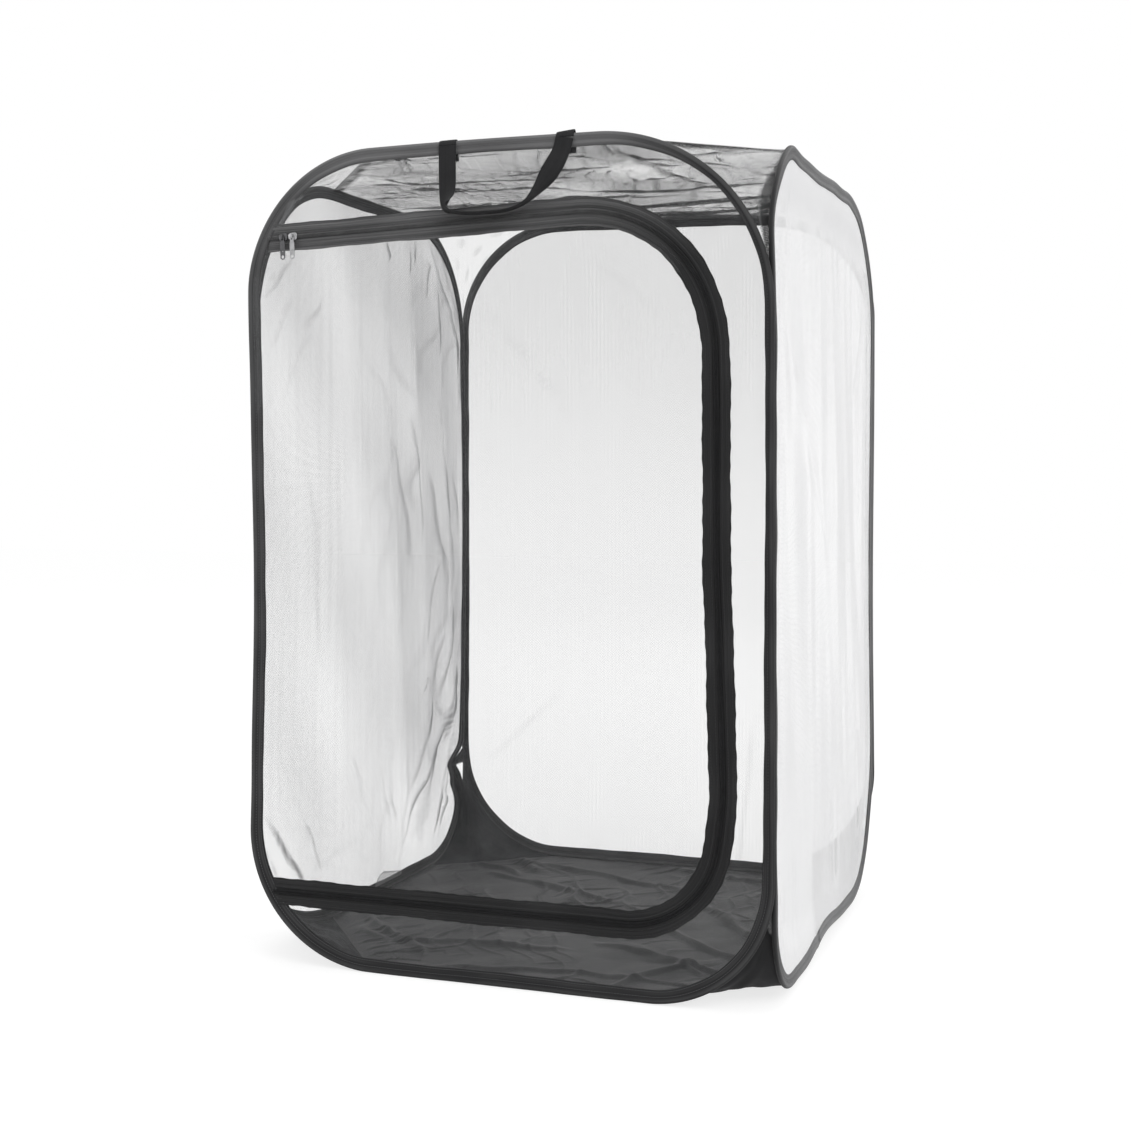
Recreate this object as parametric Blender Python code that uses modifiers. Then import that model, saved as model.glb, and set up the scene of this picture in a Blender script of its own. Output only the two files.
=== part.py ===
# Pop-up insect cage: four spring wire hoops in tape sleeves, net walls, a zipped front door,
# a dark net top, a woven floor and a webbing handle. Metres, +Z up, front towards -Y.

import math

import bmesh
import bpy
import numpy as np
from mathutils import Matrix

# Cage
frameWidth = 0.600
frameDepth = 0.600
frontHeight = 0.906

# How the sprung hoops settle against the front one: the back one stands higher, the side ones lower
backRise = 0.009
leftDrop = 0.003
rightDrop = 0.014

# Corner radii of the hoops, over the sleeve, as the sprung wires settle
frontTopLeftRadius = 0.152
frontTopRightRadius = 0.190
frontBottomLeftRadius = 0.152
frontBottomRightRadius = 0.135
backTopRadius = 0.155
backBottomRadius = 0.150
leftFrontTopRadius = 0.185
leftBackTopRadius = 0.165
leftFrontBottomRadius = 0.185
leftBackBottomRadius = 0.115
rightFrontTopRadius = 0.100
rightBackTopRadius = 0.180
rightFrontBottomRadius = 0.098
rightBackBottomRadius = 0.180
cornerSteps = 8

# Clearance between pieces that touch
gap = 0.0003

# Hoop wire, its ferrule and its sleeve
wireRadius = 0.0010
ferruleWall = 0.0003
ferruleLength = 0.016
ferruleSides = 12
sleeveWall = 0.0005
sleeveBand = 0.015
pocketStep = math.pi / 3

# Nets and floor
netThickness = 0.0004
netTuck = 0.0065
topSeam = 0.004
floorSeam = 0.0015
floorThickness = 0.0010
gussetStartShare = 0.8
gussetLengthSteps = 10
gussetWidthSteps = 2

# Left net: drape folds that fan towards the back edge
sideFoldDepth = 0.005
sideFoldPitch = 0.085
sideFoldBow = 0.006
sideFoldSlantShare = 0.12

# Top net: slack between the hoops, with ridges across it
topSag = 0.012
topRidgeDepth = 0.004
topRidgePitch = 0.120
topEdgeSteps = 9
topRulingSteps = 3

# Ring places of a folded sheet, from its edge to its middle
foldRingShares = (1.0, 0.965, 0.85, 0.70, 0.55, 0.40, 0.24, 0.10)
topRingShares = (1.0, 0.90, 0.75, 0.58, 0.42, 0.26, 0.12)

# Zip round the door, measured to the middle of its coil
zipParkMargin = 0.0922
zipTopRightMargin = 0.07747
zipRightMargin = 0.0555
zipBottomMargin = 0.080
zipTopRadius = 0.150
zipBottomRadius = 0.102
zipSteps = 9
tapeReach = 0.0155
tapeThickness = 0.0008
coilWidth = 0.0026
coilThickness = 0.0020
netToZip = 0.0060

# Slider
sliderLength = 0.0110
sliderNoseWidth = 0.0092
sliderTailWidth = 0.0070
sliderPlate = 0.0014
neckHalf = 0.0004
neckLength = 0.0030
archSpan = 0.0060
archFoot = 0.0010
archClear = 0.0020
archBar = 0.0009
archThickness = 0.0012
sliderInset = 0.0450
sliderSpacing = 0.0010
foldClearance = 0.0085

# Pull tab, from its pivot bar down
pullLength = 0.0255
pullWidth = 0.0060
pullThickness = 0.0010
pullEyeWidth = 0.0046
pullRim = 0.0011
pullShoulder = 0.0080
pullSmallHole = 0.0008
pullSmallHoleDrop = 0.0159
pullEndHole = 0.0016
holeSides = 12

# Carry handle
webbingWidth = 0.020
webbingThickness = 0.0012
handleSpan = 0.135
handleOffset = 0.0105
handleDrop = 0.074
handleStations = 36
wrapSteps = 10

# Route of the slack handle: share of the span, share of the drop, share of the half turn
handleRouteShares = (
    (0.000, 0.00, 0.00), (0.000, 0.14, 0.00), (0.004, 0.34, 0.02), (0.015, 0.55, 0.12), (0.035, 0.76, 0.36),
    (0.100, 0.93, 0.47), (0.220, 1.00, 0.50), (0.370, 1.00, 0.50), (0.520, 0.95, 0.51), (0.660, 0.84, 0.56),
    (0.790, 0.65, 0.68), (0.900, 0.40, 0.86), (0.975, 0.16, 0.98), (1.000, 0.06, 1.00), (1.000, 0.00, 1.00))

# Care label, blank
labelLength = 0.072
labelHeight = 0.026
labelThickness = 0.0003
labelLean = math.radians(22)
labelStart = 0.010

# Places worked out from the sizes above
ferruleRadius = wireRadius + gap + ferruleWall
pocketRadius = (ferruleRadius + gap) / math.cos(pocketStep / 2)
sleeveRadius = pocketRadius + sleeveWall / math.cos(pocketStep / 2)
sleeveHalf = sleeveRadius * math.sin(pocketStep)
slotHalf = netThickness / 2 + gap
hemHalf = slotHalf + sleeveWall
frontPlane = -frameDepth / 2
innerX = frameWidth / 2 - sleeveHalf - gap - netThickness / 2
innerY = frameDepth / 2 - sleeveHalf - gap - netThickness / 2
frontHalf = frameWidth / 2 + sleeveHalf
sideHalf = frameDepth / 2 - sleeveHalf - gap
backHeight = frontHeight + backRise
leftHeight = frontHeight - leftDrop
rightHeight = frontHeight - rightDrop

zipRight = frameWidth / 2 - zipRightMargin
sliderLeftX = -frontHalf + sliderInset
sliderRightX = sliderLeftX + sliderLength + sliderSpacing
zipPark = frontHeight - zipParkMargin
zipRise = zipParkMargin - zipTopRightMargin
zipSlope = math.atan2(zipRise, zipRight - sliderLeftX)
coilNear = neckHalf + gap
coilFar = coilNear + coilWidth
tapeBack = netThickness / 2 + gap
tapeFront = tapeBack + tapeThickness
coilBack = tapeFront + gap
coilFront = coilBack + coilThickness
plateBack = coilFront + gap
plateFront = plateBack + sliderPlate
pivotForward = plateFront + archClear / 2
archForward = plateFront + archClear + archBar
foldX = sliderRightX + sliderLength / 2 + foldClearance
foldForward = coilFront + gap
pocketHeight = frontHeight - sleeveRadius
wrapInner = sleeveRadius + gap
wrapOuter = wrapInner + webbingThickness
handleLeftX = handleOffset - handleSpan / 2
handleAxisY = frontPlane - wrapOuter - gap / 2

# Per panel: half width, top, and the radii at its lower and higher end along X or Y
panels = {
    "front": {"half": frontHalf, "top": frontHeight, "plane": frontPlane, "alongY": False, "radii": {
        ("low", "top"): frontTopLeftRadius, ("high", "top"): frontTopRightRadius,
        ("low", "bottom"): frontBottomLeftRadius, ("high", "bottom"): frontBottomRightRadius}},
    "back": {"half": frontHalf, "top": backHeight, "plane": frameDepth / 2, "alongY": False, "radii": {
        ("low", "top"): backTopRadius, ("high", "top"): backTopRadius,
        ("low", "bottom"): backBottomRadius, ("high", "bottom"): backBottomRadius}},
    "left": {"half": sideHalf, "top": leftHeight, "plane": -frameWidth / 2, "alongY": True, "radii": {
        ("low", "top"): leftFrontTopRadius, ("high", "top"): leftBackTopRadius,
        ("low", "bottom"): leftFrontBottomRadius, ("high", "bottom"): leftBackBottomRadius}},
    "right": {"half": sideHalf, "top": rightHeight, "plane": frameWidth / 2, "alongY": True, "radii": {
        ("low", "top"): rightFrontTopRadius, ("high", "top"): rightBackTopRadius,
        ("low", "bottom"): rightFrontBottomRadius, ("high", "bottom"): rightBackBottomRadius}}}


def clearScene():
    for item in list(bpy.data.objects):
        bpy.data.objects.remove(item, do_unlink=True)


def newCollection(name):
    group = bpy.data.collections.new(name)
    bpy.context.scene.collection.children.link(group)
    return group


def newMaterial(name, colour, roughness, metallic):
    material = bpy.data.materials.new(name)
    material.use_nodes = True
    shader = material.node_tree.nodes["Principled BSDF"]
    shader.inputs["Base Color"].default_value = (*colour, 1.0)
    shader.inputs["Roughness"].default_value = roughness
    shader.inputs["Metallic"].default_value = metallic
    return material


def addObject(name, data, material, group):
    item = bpy.data.objects.new(name, data)
    data.materials.append(material)
    group.objects.link(item)
    return item


def meshFrom(name, points, faces):
    data = bpy.data.meshes.new(name)
    data.from_pydata([tuple(point) for point in points], [], faces)
    work = bmesh.new()
    work.from_mesh(data)
    bmesh.ops.recalc_face_normals(work, faces=work.faces)
    work.to_mesh(data)
    work.free()
    return data


def onPanel(panel, along, height, outward=0.0):
    # A point of a panel's plane, moved outward from the cage
    side = 1.0 if panel["plane"] > 0 else -1.0
    level = panel["plane"] + side * outward
    if panel["alongY"]:
        return (level, along, height)
    return (along, level, height)


def arcPoints(centreX, centreZ, radius, startAngle, endAngle, steps):
    angles = np.linspace(startAngle, endAngle, steps + 1)
    return np.stack([centreX + radius * np.cos(angles), centreZ + radius * np.sin(angles)], axis=1)


def cornerArc(panel, end, level, inset, steps):
    # One rounded corner of the hoop's outline, moved in by inset, counter-clockwise
    radius = panel["radii"][(end, level)]
    centreX = (panel["half"] - radius) * (1.0 if end == "high" else -1.0)
    centreZ = panel["top"] - radius if level == "top" else radius
    start = {("high", "bottom"): -math.pi / 2, ("high", "top"): 0.0,
             ("low", "top"): math.pi / 2, ("low", "bottom"): math.pi}[(end, level)]
    return arcPoints(centreX, centreZ, radius - inset, start, start + math.pi / 2, steps)


def hoopOutline(panel, inset):
    # The closed outline, from the middle of its bottom run
    parts = [np.array([[0.0, inset]])]
    for end, level in (("high", "bottom"), ("high", "top"), ("low", "top"), ("low", "bottom")):
        parts.append(cornerArc(panel, end, level, inset, cornerSteps))
    return np.concatenate(parts)


def resample(points, count):
    # Evenly spaced points along a polyline in the plane or in space
    steps = np.linalg.norm(np.diff(points, axis=0), axis=1)
    travelled = np.concatenate([[0.0], np.cumsum(steps)])
    targets = np.linspace(0.0, travelled[-1], count)
    return np.stack([np.interp(targets, travelled, points[:, axis]) for axis in range(points.shape[1])], axis=1)


def addWire(name, panel, material, group):
    outline = hoopOutline(panel, sleeveRadius)
    path = np.concatenate([[[gap / 2, sleeveRadius]], outline[1:], [[-gap / 2, sleeveRadius]]])
    data = bpy.data.curves.new(name, "CURVE")
    data.dimensions = "3D"
    spline = data.splines.new("POLY")
    spline.points.add(len(path) - 1)
    for point, (along, height) in zip(spline.points, path):
        point.co = (*onPanel(panel, along, height), 1.0)
    data.bevel_depth = wireRadius
    data.bevel_resolution = 2
    data.use_fill_caps = True
    return addObject(name, data, material, group)


def addFerrule(name, panel, material, group):
    # A turned tube over the two wire ends, in the middle of the bottom run
    inner = wireRadius + gap
    half = ferruleLength / 2
    profile = [(inner, 0.0, half), (ferruleRadius, 0.0, half), (ferruleRadius, 0.0, -half), (inner, 0.0, -half)]
    data = bpy.data.meshes.new(name)
    data.from_pydata(profile, [(0, 1), (1, 2), (2, 3), (3, 0)], [])
    item = addObject(name, data, material, group)
    item.location = onPanel(panel, 0.0, sleeveRadius)
    item.rotation_euler = (math.pi / 2, 0.0, 0.0) if panel["alongY"] else (0.0, math.pi / 2, 0.0)
    turn = item.modifiers.new("turn", "SCREW")
    turn.steps = ferruleSides
    turn.render_steps = ferruleSides
    turn.use_merge_vertices = True
    turn.merge_threshold = 0.00001
    return item


def sleeveProfile():
    # The tape's section: (inset from the hoop's outer edge, height off the panel), a pocket and two hem legs
    outer = []
    inner = []
    for step in range(1, 6):
        angle = step * pocketStep
        outer.append((sleeveRadius + sleeveRadius * math.cos(angle), sleeveRadius * math.sin(angle)))
        inner.append((sleeveRadius + pocketRadius * math.cos(angle), pocketRadius * math.sin(angle)))
    return ([(sleeveBand, slotHalf), (sleeveBand, hemHalf)] + outer
            + [(sleeveBand, -hemHalf), (sleeveBand, -slotHalf)] + inner[::-1])


def addSleeve(name, panel, material, group):
    rings = []
    for inset, outward in sleeveProfile():
        rings.append([onPanel(panel, along, height, outward) for along, height in hoopOutline(panel, inset)])
    count = len(rings[0])
    points = [point for ring in rings for point in ring]
    faces = []
    for ring in range(len(rings)):
        after = (ring + 1) % len(rings)
        for place in range(count):
            forward = (place + 1) % count
            faces.append((ring * count + place, ring * count + forward,
                          after * count + forward, after * count + place))
    return addObject(name, meshFrom(name, points, faces), material, group)


def addFlatSheet(name, loops, thickness, panel, outward, material, group):
    # A flat outline in a panel's plane; the first loop is its edge and the others are holes
    data = bpy.data.curves.new(name, "CURVE")
    data.dimensions = "2D"
    data.fill_mode = "BOTH"
    data.extrude = thickness / 2
    for loop in loops:
        spline = data.splines.new("POLY")
        spline.use_cyclic_u = True
        spline.points.add(len(loop) - 1)
        for point, (along, height) in zip(spline.points, loop):
            point.co = (along, height, 0.0, 1.0)
    item = addObject(name, data, material, group)
    if panel is not None:
        item.location = onPanel(panel, 0.0, 0.0, outward)
        item.rotation_euler = (math.pi / 2, 0.0, math.pi / 2 if panel["alongY"] else 0.0)
    return item


def thicken(item, thickness):
    wall = item.modifiers.new("thickness", "SOLIDIFY")
    wall.thickness = thickness
    wall.offset = 0.0
    return item


def addRingSheet(name, edge, centre, shares, displace, thickness, material, group):
    # A sheet of rings that shrink from its edge to its centre, each point moved by displace(point, share)
    edge = np.array(edge)
    centre = np.array(centre)
    count = len(edge)
    points = []
    for share in shares:
        for corner in edge:
            points.append(displace(centre + share * (corner - centre), share))
    points.append(displace(centre, 0.0))
    faces = []
    for ring in range(len(shares) - 1):
        for place in range(count):
            forward = (place + 1) % count
            faces.append((ring * count + place, ring * count + forward,
                          (ring + 1) * count + forward, (ring + 1) * count + place))
    last = (len(shares) - 1) * count
    for place in range(count):
        faces.append((last + place, last + (place + 1) % count, len(points) - 1))
    return thicken(addObject(name, meshFrom(name, points, faces), material, group), thickness)


def sideFold(point, share):
    # Folds of the left net: none in the sleeve, deeper towards the back edge
    fade = min(1.0, max(0.0, (foldRingShares[1] - share) / (1.0 - foldRingShares[2])))
    backShare = 0.5 + point[1] / (2 * sideHalf)
    phase = (point[1] + sideFoldSlantShare * point[2]) / sideFoldPitch
    depth = sideFoldBow + sideFoldDepth * backShare * math.cos(2 * math.pi * phase)
    return (point[0] + fade * depth, point[1], point[2])


def topFold(point, share):
    # Slack of the top net, lowest in its middle, with ridges from side to side
    slack = 1.0 - share * share
    phase = point[1] / topRidgePitch + point[0] / frameWidth
    depth = -topSag * slack + topRidgeDepth * min(1.0, 2 * slack) * math.cos(2 * math.pi * phase)
    return (point[0], point[1], point[2] + depth)


def cornerRun(panel, end, level, inset, tipHeight, count):
    # A hoop's edge from the tip of a corner gusset down or up to the end of the rounded corner
    arc = cornerArc(panel, end, level, inset, cornerSteps * 3)
    if (end, level) in (("high", "top"), ("low", "bottom")):
        run = arc
    else:
        run = arc[::-1]
    run = np.concatenate([[[run[0][0], tipHeight]], run])
    keep = run[:, 1] >= tipHeight if level == "top" else run[:, 1] <= tipHeight
    return resample(run[keep], count)


def gussetEdges(frontName, sideName, level, seam):
    # Both sewn edges of a corner gusset, from its tip, as points of the cage
    front = panels[frontName]
    side = panels[sideName]
    frontEnd = "low" if sideName == "left" else "high"
    sideEnd = "low" if frontName == "front" else "high"
    frontRadius = front["radii"][(frontEnd, level)]
    sideRadius = side["radii"][(sideEnd, level)]
    reach = gussetStartShare * max(frontRadius, sideRadius)
    tipHeight = min(front["top"], side["top"]) - reach if level == "top" else reach
    count = gussetLengthSteps + 1
    across = cornerRun(front, frontEnd, level, seam, tipHeight, count)
    along = cornerRun(side, sideEnd, level, seam, tipHeight, count)
    signY = -1.0 if frontName == "front" else 1.0
    signX = -1.0 if sideName == "left" else 1.0
    frontEdge = np.array([(np.clip(x, -innerX, innerX), signY * innerY, z) for x, z in across])
    sideEdge = np.array([(signX * innerX, y, z) for y, z in along])
    return frontEdge, sideEdge


def addGusset(name, frontName, sideName, level, seam, material, group):
    # A ruled sheet between the rounded corners of two hoops
    frontEdge, sideEdge = gussetEdges(frontName, sideName, level, seam)
    rows = gussetWidthSteps + 1
    points = []
    for first, second in zip(frontEdge, sideEdge):
        for step in range(rows):
            points.append(first + (second - first) * step / gussetWidthSteps)
    faces = []
    for place in range(len(frontEdge) - 1):
        for step in range(gussetWidthSteps):
            start = place * rows + step
            faces.append((start, start + 1, start + rows + 1, start + rows))
    return thicken(addObject(name, meshFrom(name, points, faces), material, group), netThickness)


def octagon(level, seam, rulingSteps, edgeSteps):
    # Edge of the top or floor: the hoops' straight runs and the gussets' last rulings, counter-clockwise
    corners = []
    for frontName, sideName in (("front", "left"), ("front", "right"), ("back", "right"), ("back", "left")):
        frontEdge, sideEdge = gussetEdges(frontName, sideName, level, seam)
        pair = [sideEdge[-1], frontEdge[-1]]
        corners.extend(pair if len(corners) % 4 == 0 else pair[::-1])
    inward = gap + netThickness
    for first in (1, 3, 5, 7):
        second = (first + 1) % 8
        run = corners[second] - corners[first]
        run = run / np.linalg.norm(run) * inward
        corners[first] = corners[first] + run
        corners[second] = corners[second] - run
    edge = []
    for place in range(8):
        steps = edgeSteps if place % 2 else rulingSteps
        run = corners[(place + 1) % 8] - corners[place]
        edge.extend(corners[place] + run * step / steps for step in range(steps))
    return np.array(edge)


def leftEdgeX(height, inset):
    # Where the front hoop's left side runs at a height, moved in by inset
    panel = panels["front"]
    side = np.concatenate([cornerArc(panel, "low", "bottom", inset, cornerSteps)[::-1],
                           cornerArc(panel, "low", "top", inset, cornerSteps)[::-1]])
    return float(np.interp(height, side[:, 1], side[:, 0]))


def zipTopAt(place, offset):
    # Height of the zip's top run, moved outward by offset
    return zipPark + (place - sliderLeftX) * math.tan(zipSlope) + offset / math.cos(zipSlope)


def zipStart(offset, inset):
    # Where the top run meets the left side of the front hoop
    place = leftEdgeX(zipTopAt(sliderLeftX, offset), inset)
    place = leftEdgeX(zipTopAt(place, offset), inset)
    return (place, zipTopAt(place, offset))


def zipStop(offset, inset):
    # Where the bottom run meets the left side of the front hoop
    height = zipBottomMargin - offset
    return (leftEdgeX(height, inset), height)


def zipRoute(start, stop, offset):
    # The zip's middle line moved outward by offset: top run, two rounded corners, bottom run
    topCentreX = zipRight - zipTopRadius
    topCentreZ = zipTopAt(topCentreX, -zipTopRadius)
    topArc = arcPoints(topCentreX, topCentreZ, zipTopRadius + offset, math.pi / 2 + zipSlope, 0.0, zipSteps)
    bottomArc = arcPoints(zipRight - zipBottomRadius, zipBottomMargin + zipBottomRadius,
                          zipBottomRadius + offset, 0.0, -math.pi / 2, zipSteps)
    return np.concatenate([[start], topArc, bottomArc, [stop]])


def frameStrip(near, far):
    # Closed outline of a strip on the frame's side of the zip, from sleeve to sleeve
    inset = sleeveBand + gap
    return np.concatenate([zipRoute(zipStart(far, inset), zipStop(far, inset), far),
                           zipRoute(zipStart(near, inset), zipStop(near, inset), near)[::-1]])


def doorRoute(offset):
    # The part of the zip's line that swings with the door
    place = foldX + gap
    return zipRoute((place, zipTopAt(place, offset)), (place, zipBottomMargin - offset), offset)


def doorStrip(near, far):
    return np.concatenate([doorRoute(far), doorRoute(near)[::-1]])


def zipEnd(isTop, near, far):
    # Closed outline of a short fixed end of the door's half, left of the fold
    inset = sleeveBand + gap
    place = foldX - gap
    if isTop:
        return np.array([zipStart(near, inset), (place, zipTopAt(place, near)),
                         (place, zipTopAt(place, far)), zipStart(far, inset)])
    return np.array([zipStop(near, inset), (place, zipBottomMargin - near),
                     (place, zipBottomMargin - far), zipStop(far, inset)])


def surroundLoop():
    # The front net outside the zip: a C that is open at the left
    panel = panels["front"]
    start = zipStart(netToZip, netTuck)
    stop = zipStop(netToZip, netTuck)
    topLeft = cornerArc(panel, "low", "top", netTuck, cornerSteps)
    bottomLeft = cornerArc(panel, "low", "bottom", netTuck, cornerSteps)
    return np.concatenate([bottomLeft[bottomLeft[:, 1] < stop[1] - gap],
                           cornerArc(panel, "high", "bottom", netTuck, cornerSteps),
                           cornerArc(panel, "high", "top", netTuck, cornerSteps),
                           topLeft[topLeft[:, 1] > start[1] + gap],
                           zipRoute(start, stop, netToZip)])


def hingeNetLoop():
    # The strip of door net between the left sleeve and the fold
    panel = panels["front"]
    start = zipStart(-netToZip, netTuck)
    stop = zipStop(-netToZip, netTuck)
    topLeft = cornerArc(panel, "low", "top", netTuck, cornerSteps)
    bottomLeft = cornerArc(panel, "low", "bottom", netTuck, cornerSteps)
    place = foldX - gap
    return np.concatenate([[start], topLeft[topLeft[:, 1] < start[1] - gap],
                           bottomLeft[bottomLeft[:, 1] > stop[1] + gap], [stop],
                           [(place, stop[1]), (place, zipTopAt(place, -netToZip))]])


def boxMesh(name, low, high):
    data = bpy.data.meshes.new(name)
    work = bmesh.new()
    bmesh.ops.create_cube(work, size=1.0)
    size = np.array(high) - np.array(low)
    middle = (np.array(high) + np.array(low)) / 2
    bmesh.ops.scale(work, vec=size, verts=work.verts)
    bmesh.ops.translate(work, vec=middle, verts=work.verts)
    work.to_mesh(data)
    work.free()
    return data


def plateMesh(name, nearY, farY):
    # A slider plate seen from the front: wide nose to the right, narrower tail
    half = sliderLength / 2
    nose = sliderNoseWidth / 2
    tail = sliderTailWidth / 2
    chamfer = neckLength / 2
    outline = [(-half, -tail + chamfer / 2), (-half + chamfer, -tail), (half - chamfer, -nose),
               (half, -nose + chamfer), (half, nose - chamfer), (half - chamfer, nose),
               (-half + chamfer, tail), (-half, tail - chamfer / 2)]
    count = len(outline)
    points = [(x, nearY, z) for x, z in outline] + [(x, farY, z) for x, z in outline]
    faces = [tuple(range(count)), tuple(range(2 * count - 1, count - 1, -1))]
    for place in range(count):
        forward = (place + 1) % count
        faces.append((place, forward, count + forward, count + place))
    return meshFrom(name, points, faces)


def addSlider(name, placeX, material, group, cutters):
    # Two plates joined by a neck between the coils, with an arch in front for the pull
    overlap = sliderPlate / 2
    item = addObject(name, plateMesh(name, -plateBack, -plateFront), material, group)
    foot = archSpan / 2 - archFoot
    halfArch = archThickness / 2
    halfNeck = neckLength / 2
    backPlateFace = tapeBack - gap
    pieces = {
        "back": plateMesh(name + "_back", -backPlateFace, -backPlateFace + sliderPlate),
        "neck": boxMesh(name + "_neck", (-halfNeck, -plateBack - overlap, -neckHalf),
                        (halfNeck, -backPlateFace + overlap, neckHalf)),
        "footLow": boxMesh(name + "_foot_low", (-halfArch, -archForward, -foot - archFoot),
                           (halfArch, -plateFront + overlap, -foot)),
        "footHigh": boxMesh(name + "_foot_high", (-halfArch, -archForward, foot),
                            (halfArch, -plateFront + overlap, foot + archFoot)),
        "bar": boxMesh(name + "_bar", (-halfArch, -archForward, -foot - archFoot / 2),
                       (halfArch, -archForward + archBar, foot + archFoot / 2))}
    item.location = (placeX, frontPlane, zipTopAt(placeX, 0.0))
    item.rotation_euler = (0.0, -zipSlope, 0.0)
    for label, data in pieces.items():
        tool = bpy.data.objects.new(name + "_" + label, data)
        cutters.objects.link(tool)
        tool.location = item.location
        tool.rotation_euler = item.rotation_euler
        tool.hide_render = True
        tool.display_type = "WIRE"
        join = item.modifiers.new(label, "BOOLEAN")
        join.operation = "UNION"
        join.solver = "EXACT"
        join.object = tool
    return item


def addPull(name, placeX, material, group):
    # A flat tab that hangs from its pivot bar under the slider's arch
    eye = pullEyeWidth / 2
    wide = pullWidth / 2
    rim = pullRim / 2
    reach = math.hypot(archSpan / 2, archForward - pivotForward) + gap
    endZ = wide - pullLength
    outline = [(-eye, rim), (-eye, -reach - pullRim), (-wide, -pullShoulder)]
    outline += [tuple(point) for point in arcPoints(0.0, endZ, wide, math.pi, 2 * math.pi, holeSides)]
    outline += [(wide, -pullShoulder), (eye, -reach - pullRim), (eye, rim)]
    slot = archThickness / 2 + gap
    window = [(-slot, -rim), (slot, -rim), (slot, -reach), (-slot, -reach)]
    smallHole = arcPoints(0.0, -pullSmallHoleDrop, pullSmallHole, 0.0, 2 * math.pi, holeSides)[:-1]
    endHole = arcPoints(0.0, endZ, pullEndHole, 0.0, 2 * math.pi, holeSides)[:-1]
    item = addFlatSheet(name, [outline, window, smallHole, endHole], pullThickness, None, 0.0, material, group)
    item.location = (placeX, frontPlane - pivotForward, zipTopAt(placeX, 0.0))
    item.rotation_euler = (math.pi / 2, -zipSlope, 0.0)
    return item


def smoothRoute(shares, count):
    # A smooth curve through hand-placed shares: a cubic through each run of four points
    table = np.array(shares)
    padded = np.concatenate([[2 * table[0] - table[1]], table, [2 * table[-1] - table[-2]]])
    places = np.linspace(0.0, len(table) - 1, count)
    result = []
    for place in places:
        index = min(int(place), len(table) - 2)
        local = place - index
        first, second, third, fourth = padded[index:index + 4]
        bend = 2 * first - 5 * second + 4 * third - fourth
        twist = 3 * second - first - 3 * third + fourth
        result.append(second + 0.5 * local * (third - first + local * (bend + local * twist)))
    return np.array(result)


def addHandle(name, material, group):
    # The slack webbing: a flat ribbon that turns edge-on at the bottom of its loop
    route = smoothRoute(handleRouteShares, handleStations)
    half = webbingWidth / 2
    top = pocketHeight - gap
    turn = np.clip(route[:, 2], 0.0, 1.0) * math.pi
    centre = np.stack([handleLeftX + route[:, 0] * handleSpan,
                       frontPlane - (wrapInner + wrapOuter) / 2 - half * np.sin(turn),
                       top - np.clip(route[:, 1], 0.0, 1.0) * handleDrop], axis=1)
    centre[:, 1] -= np.minimum(np.sin(turn), 1.0) * gap
    tangent = np.gradient(centre, axis=0)
    tangent[0] = (0.0, 0.0, -handleDrop)
    tangent[-1] = (0.0, 0.0, handleDrop)
    tangent /= np.linalg.norm(tangent, axis=1, keepdims=True)
    width = np.stack([np.cos(turn), -np.sin(turn), np.zeros_like(turn)], axis=1)
    width -= np.sum(width * tangent, axis=1, keepdims=True) * tangent
    width /= np.linalg.norm(width, axis=1, keepdims=True)
    normal = np.cross(tangent, width)
    points = []
    for spot, side, face in zip(centre, width, normal):
        for across, through in ((-1, -1), (1, -1), (1, 1), (-1, 1)):
            points.append(spot + across * half * side + through * webbingThickness / 2 * face)
    faces = [(0, 1, 2, 3)]
    for station in range(handleStations - 1):
        for corner in range(4):
            start = station * 4
            follow = (corner + 1) % 4
            faces.append((start + corner, start + follow, start + 4 + follow, start + 4 + corner))
    last = (handleStations - 1) * 4
    faces.append((last + 3, last + 2, last + 1, last))
    return addObject(name, meshFrom(name, points, faces), material, group)


def addAnchor(name, placeX, material, group):
    # The webbing's wrap over the top sleeve: half a ring, from the front of the sleeve to its back
    inner = arcPoints(0.0, 0.0, wrapInner, 0.0, math.pi, wrapSteps)
    outer = arcPoints(0.0, 0.0, wrapOuter, 0.0, math.pi, wrapSteps)
    loop = np.concatenate([outer, inner[::-1]])
    item = addFlatSheet(name, [loop], webbingWidth, None, 0.0, material, group)
    item.location = (placeX, frontPlane, pocketHeight)
    item.rotation_euler = (math.pi / 2, 0.0, math.pi / 2)
    return item


def addLabel(name, material, group):
    # A blank label sewn by its lower edge into the left bottom seam, leaning into the cage
    data = boxMesh(name, (0.0, 0.0, 0.0), (labelThickness, labelLength, labelHeight))
    item = addObject(name, data, material, group)
    item.location = (-innerX, labelStart, floorThickness + gap)
    item.rotation_euler = (0.0, labelLean, 0.0)
    return item


def addJoint(name, location, parent, children, group):
    # An empty on a joint's axis, which carries the pieces that move about it
    empty = bpy.data.objects.new(name, None)
    group.objects.link(empty)
    empty.location = location
    for item in children:
        item.parent = empty
        item.matrix_parent_inverse = Matrix.Translation(location).inverted()
    if parent is not None:
        empty.parent = parent
        empty.matrix_parent_inverse = Matrix.Translation(parent["axisPoint"]).inverted()
    empty["axisPoint"] = location
    return empty


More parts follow.
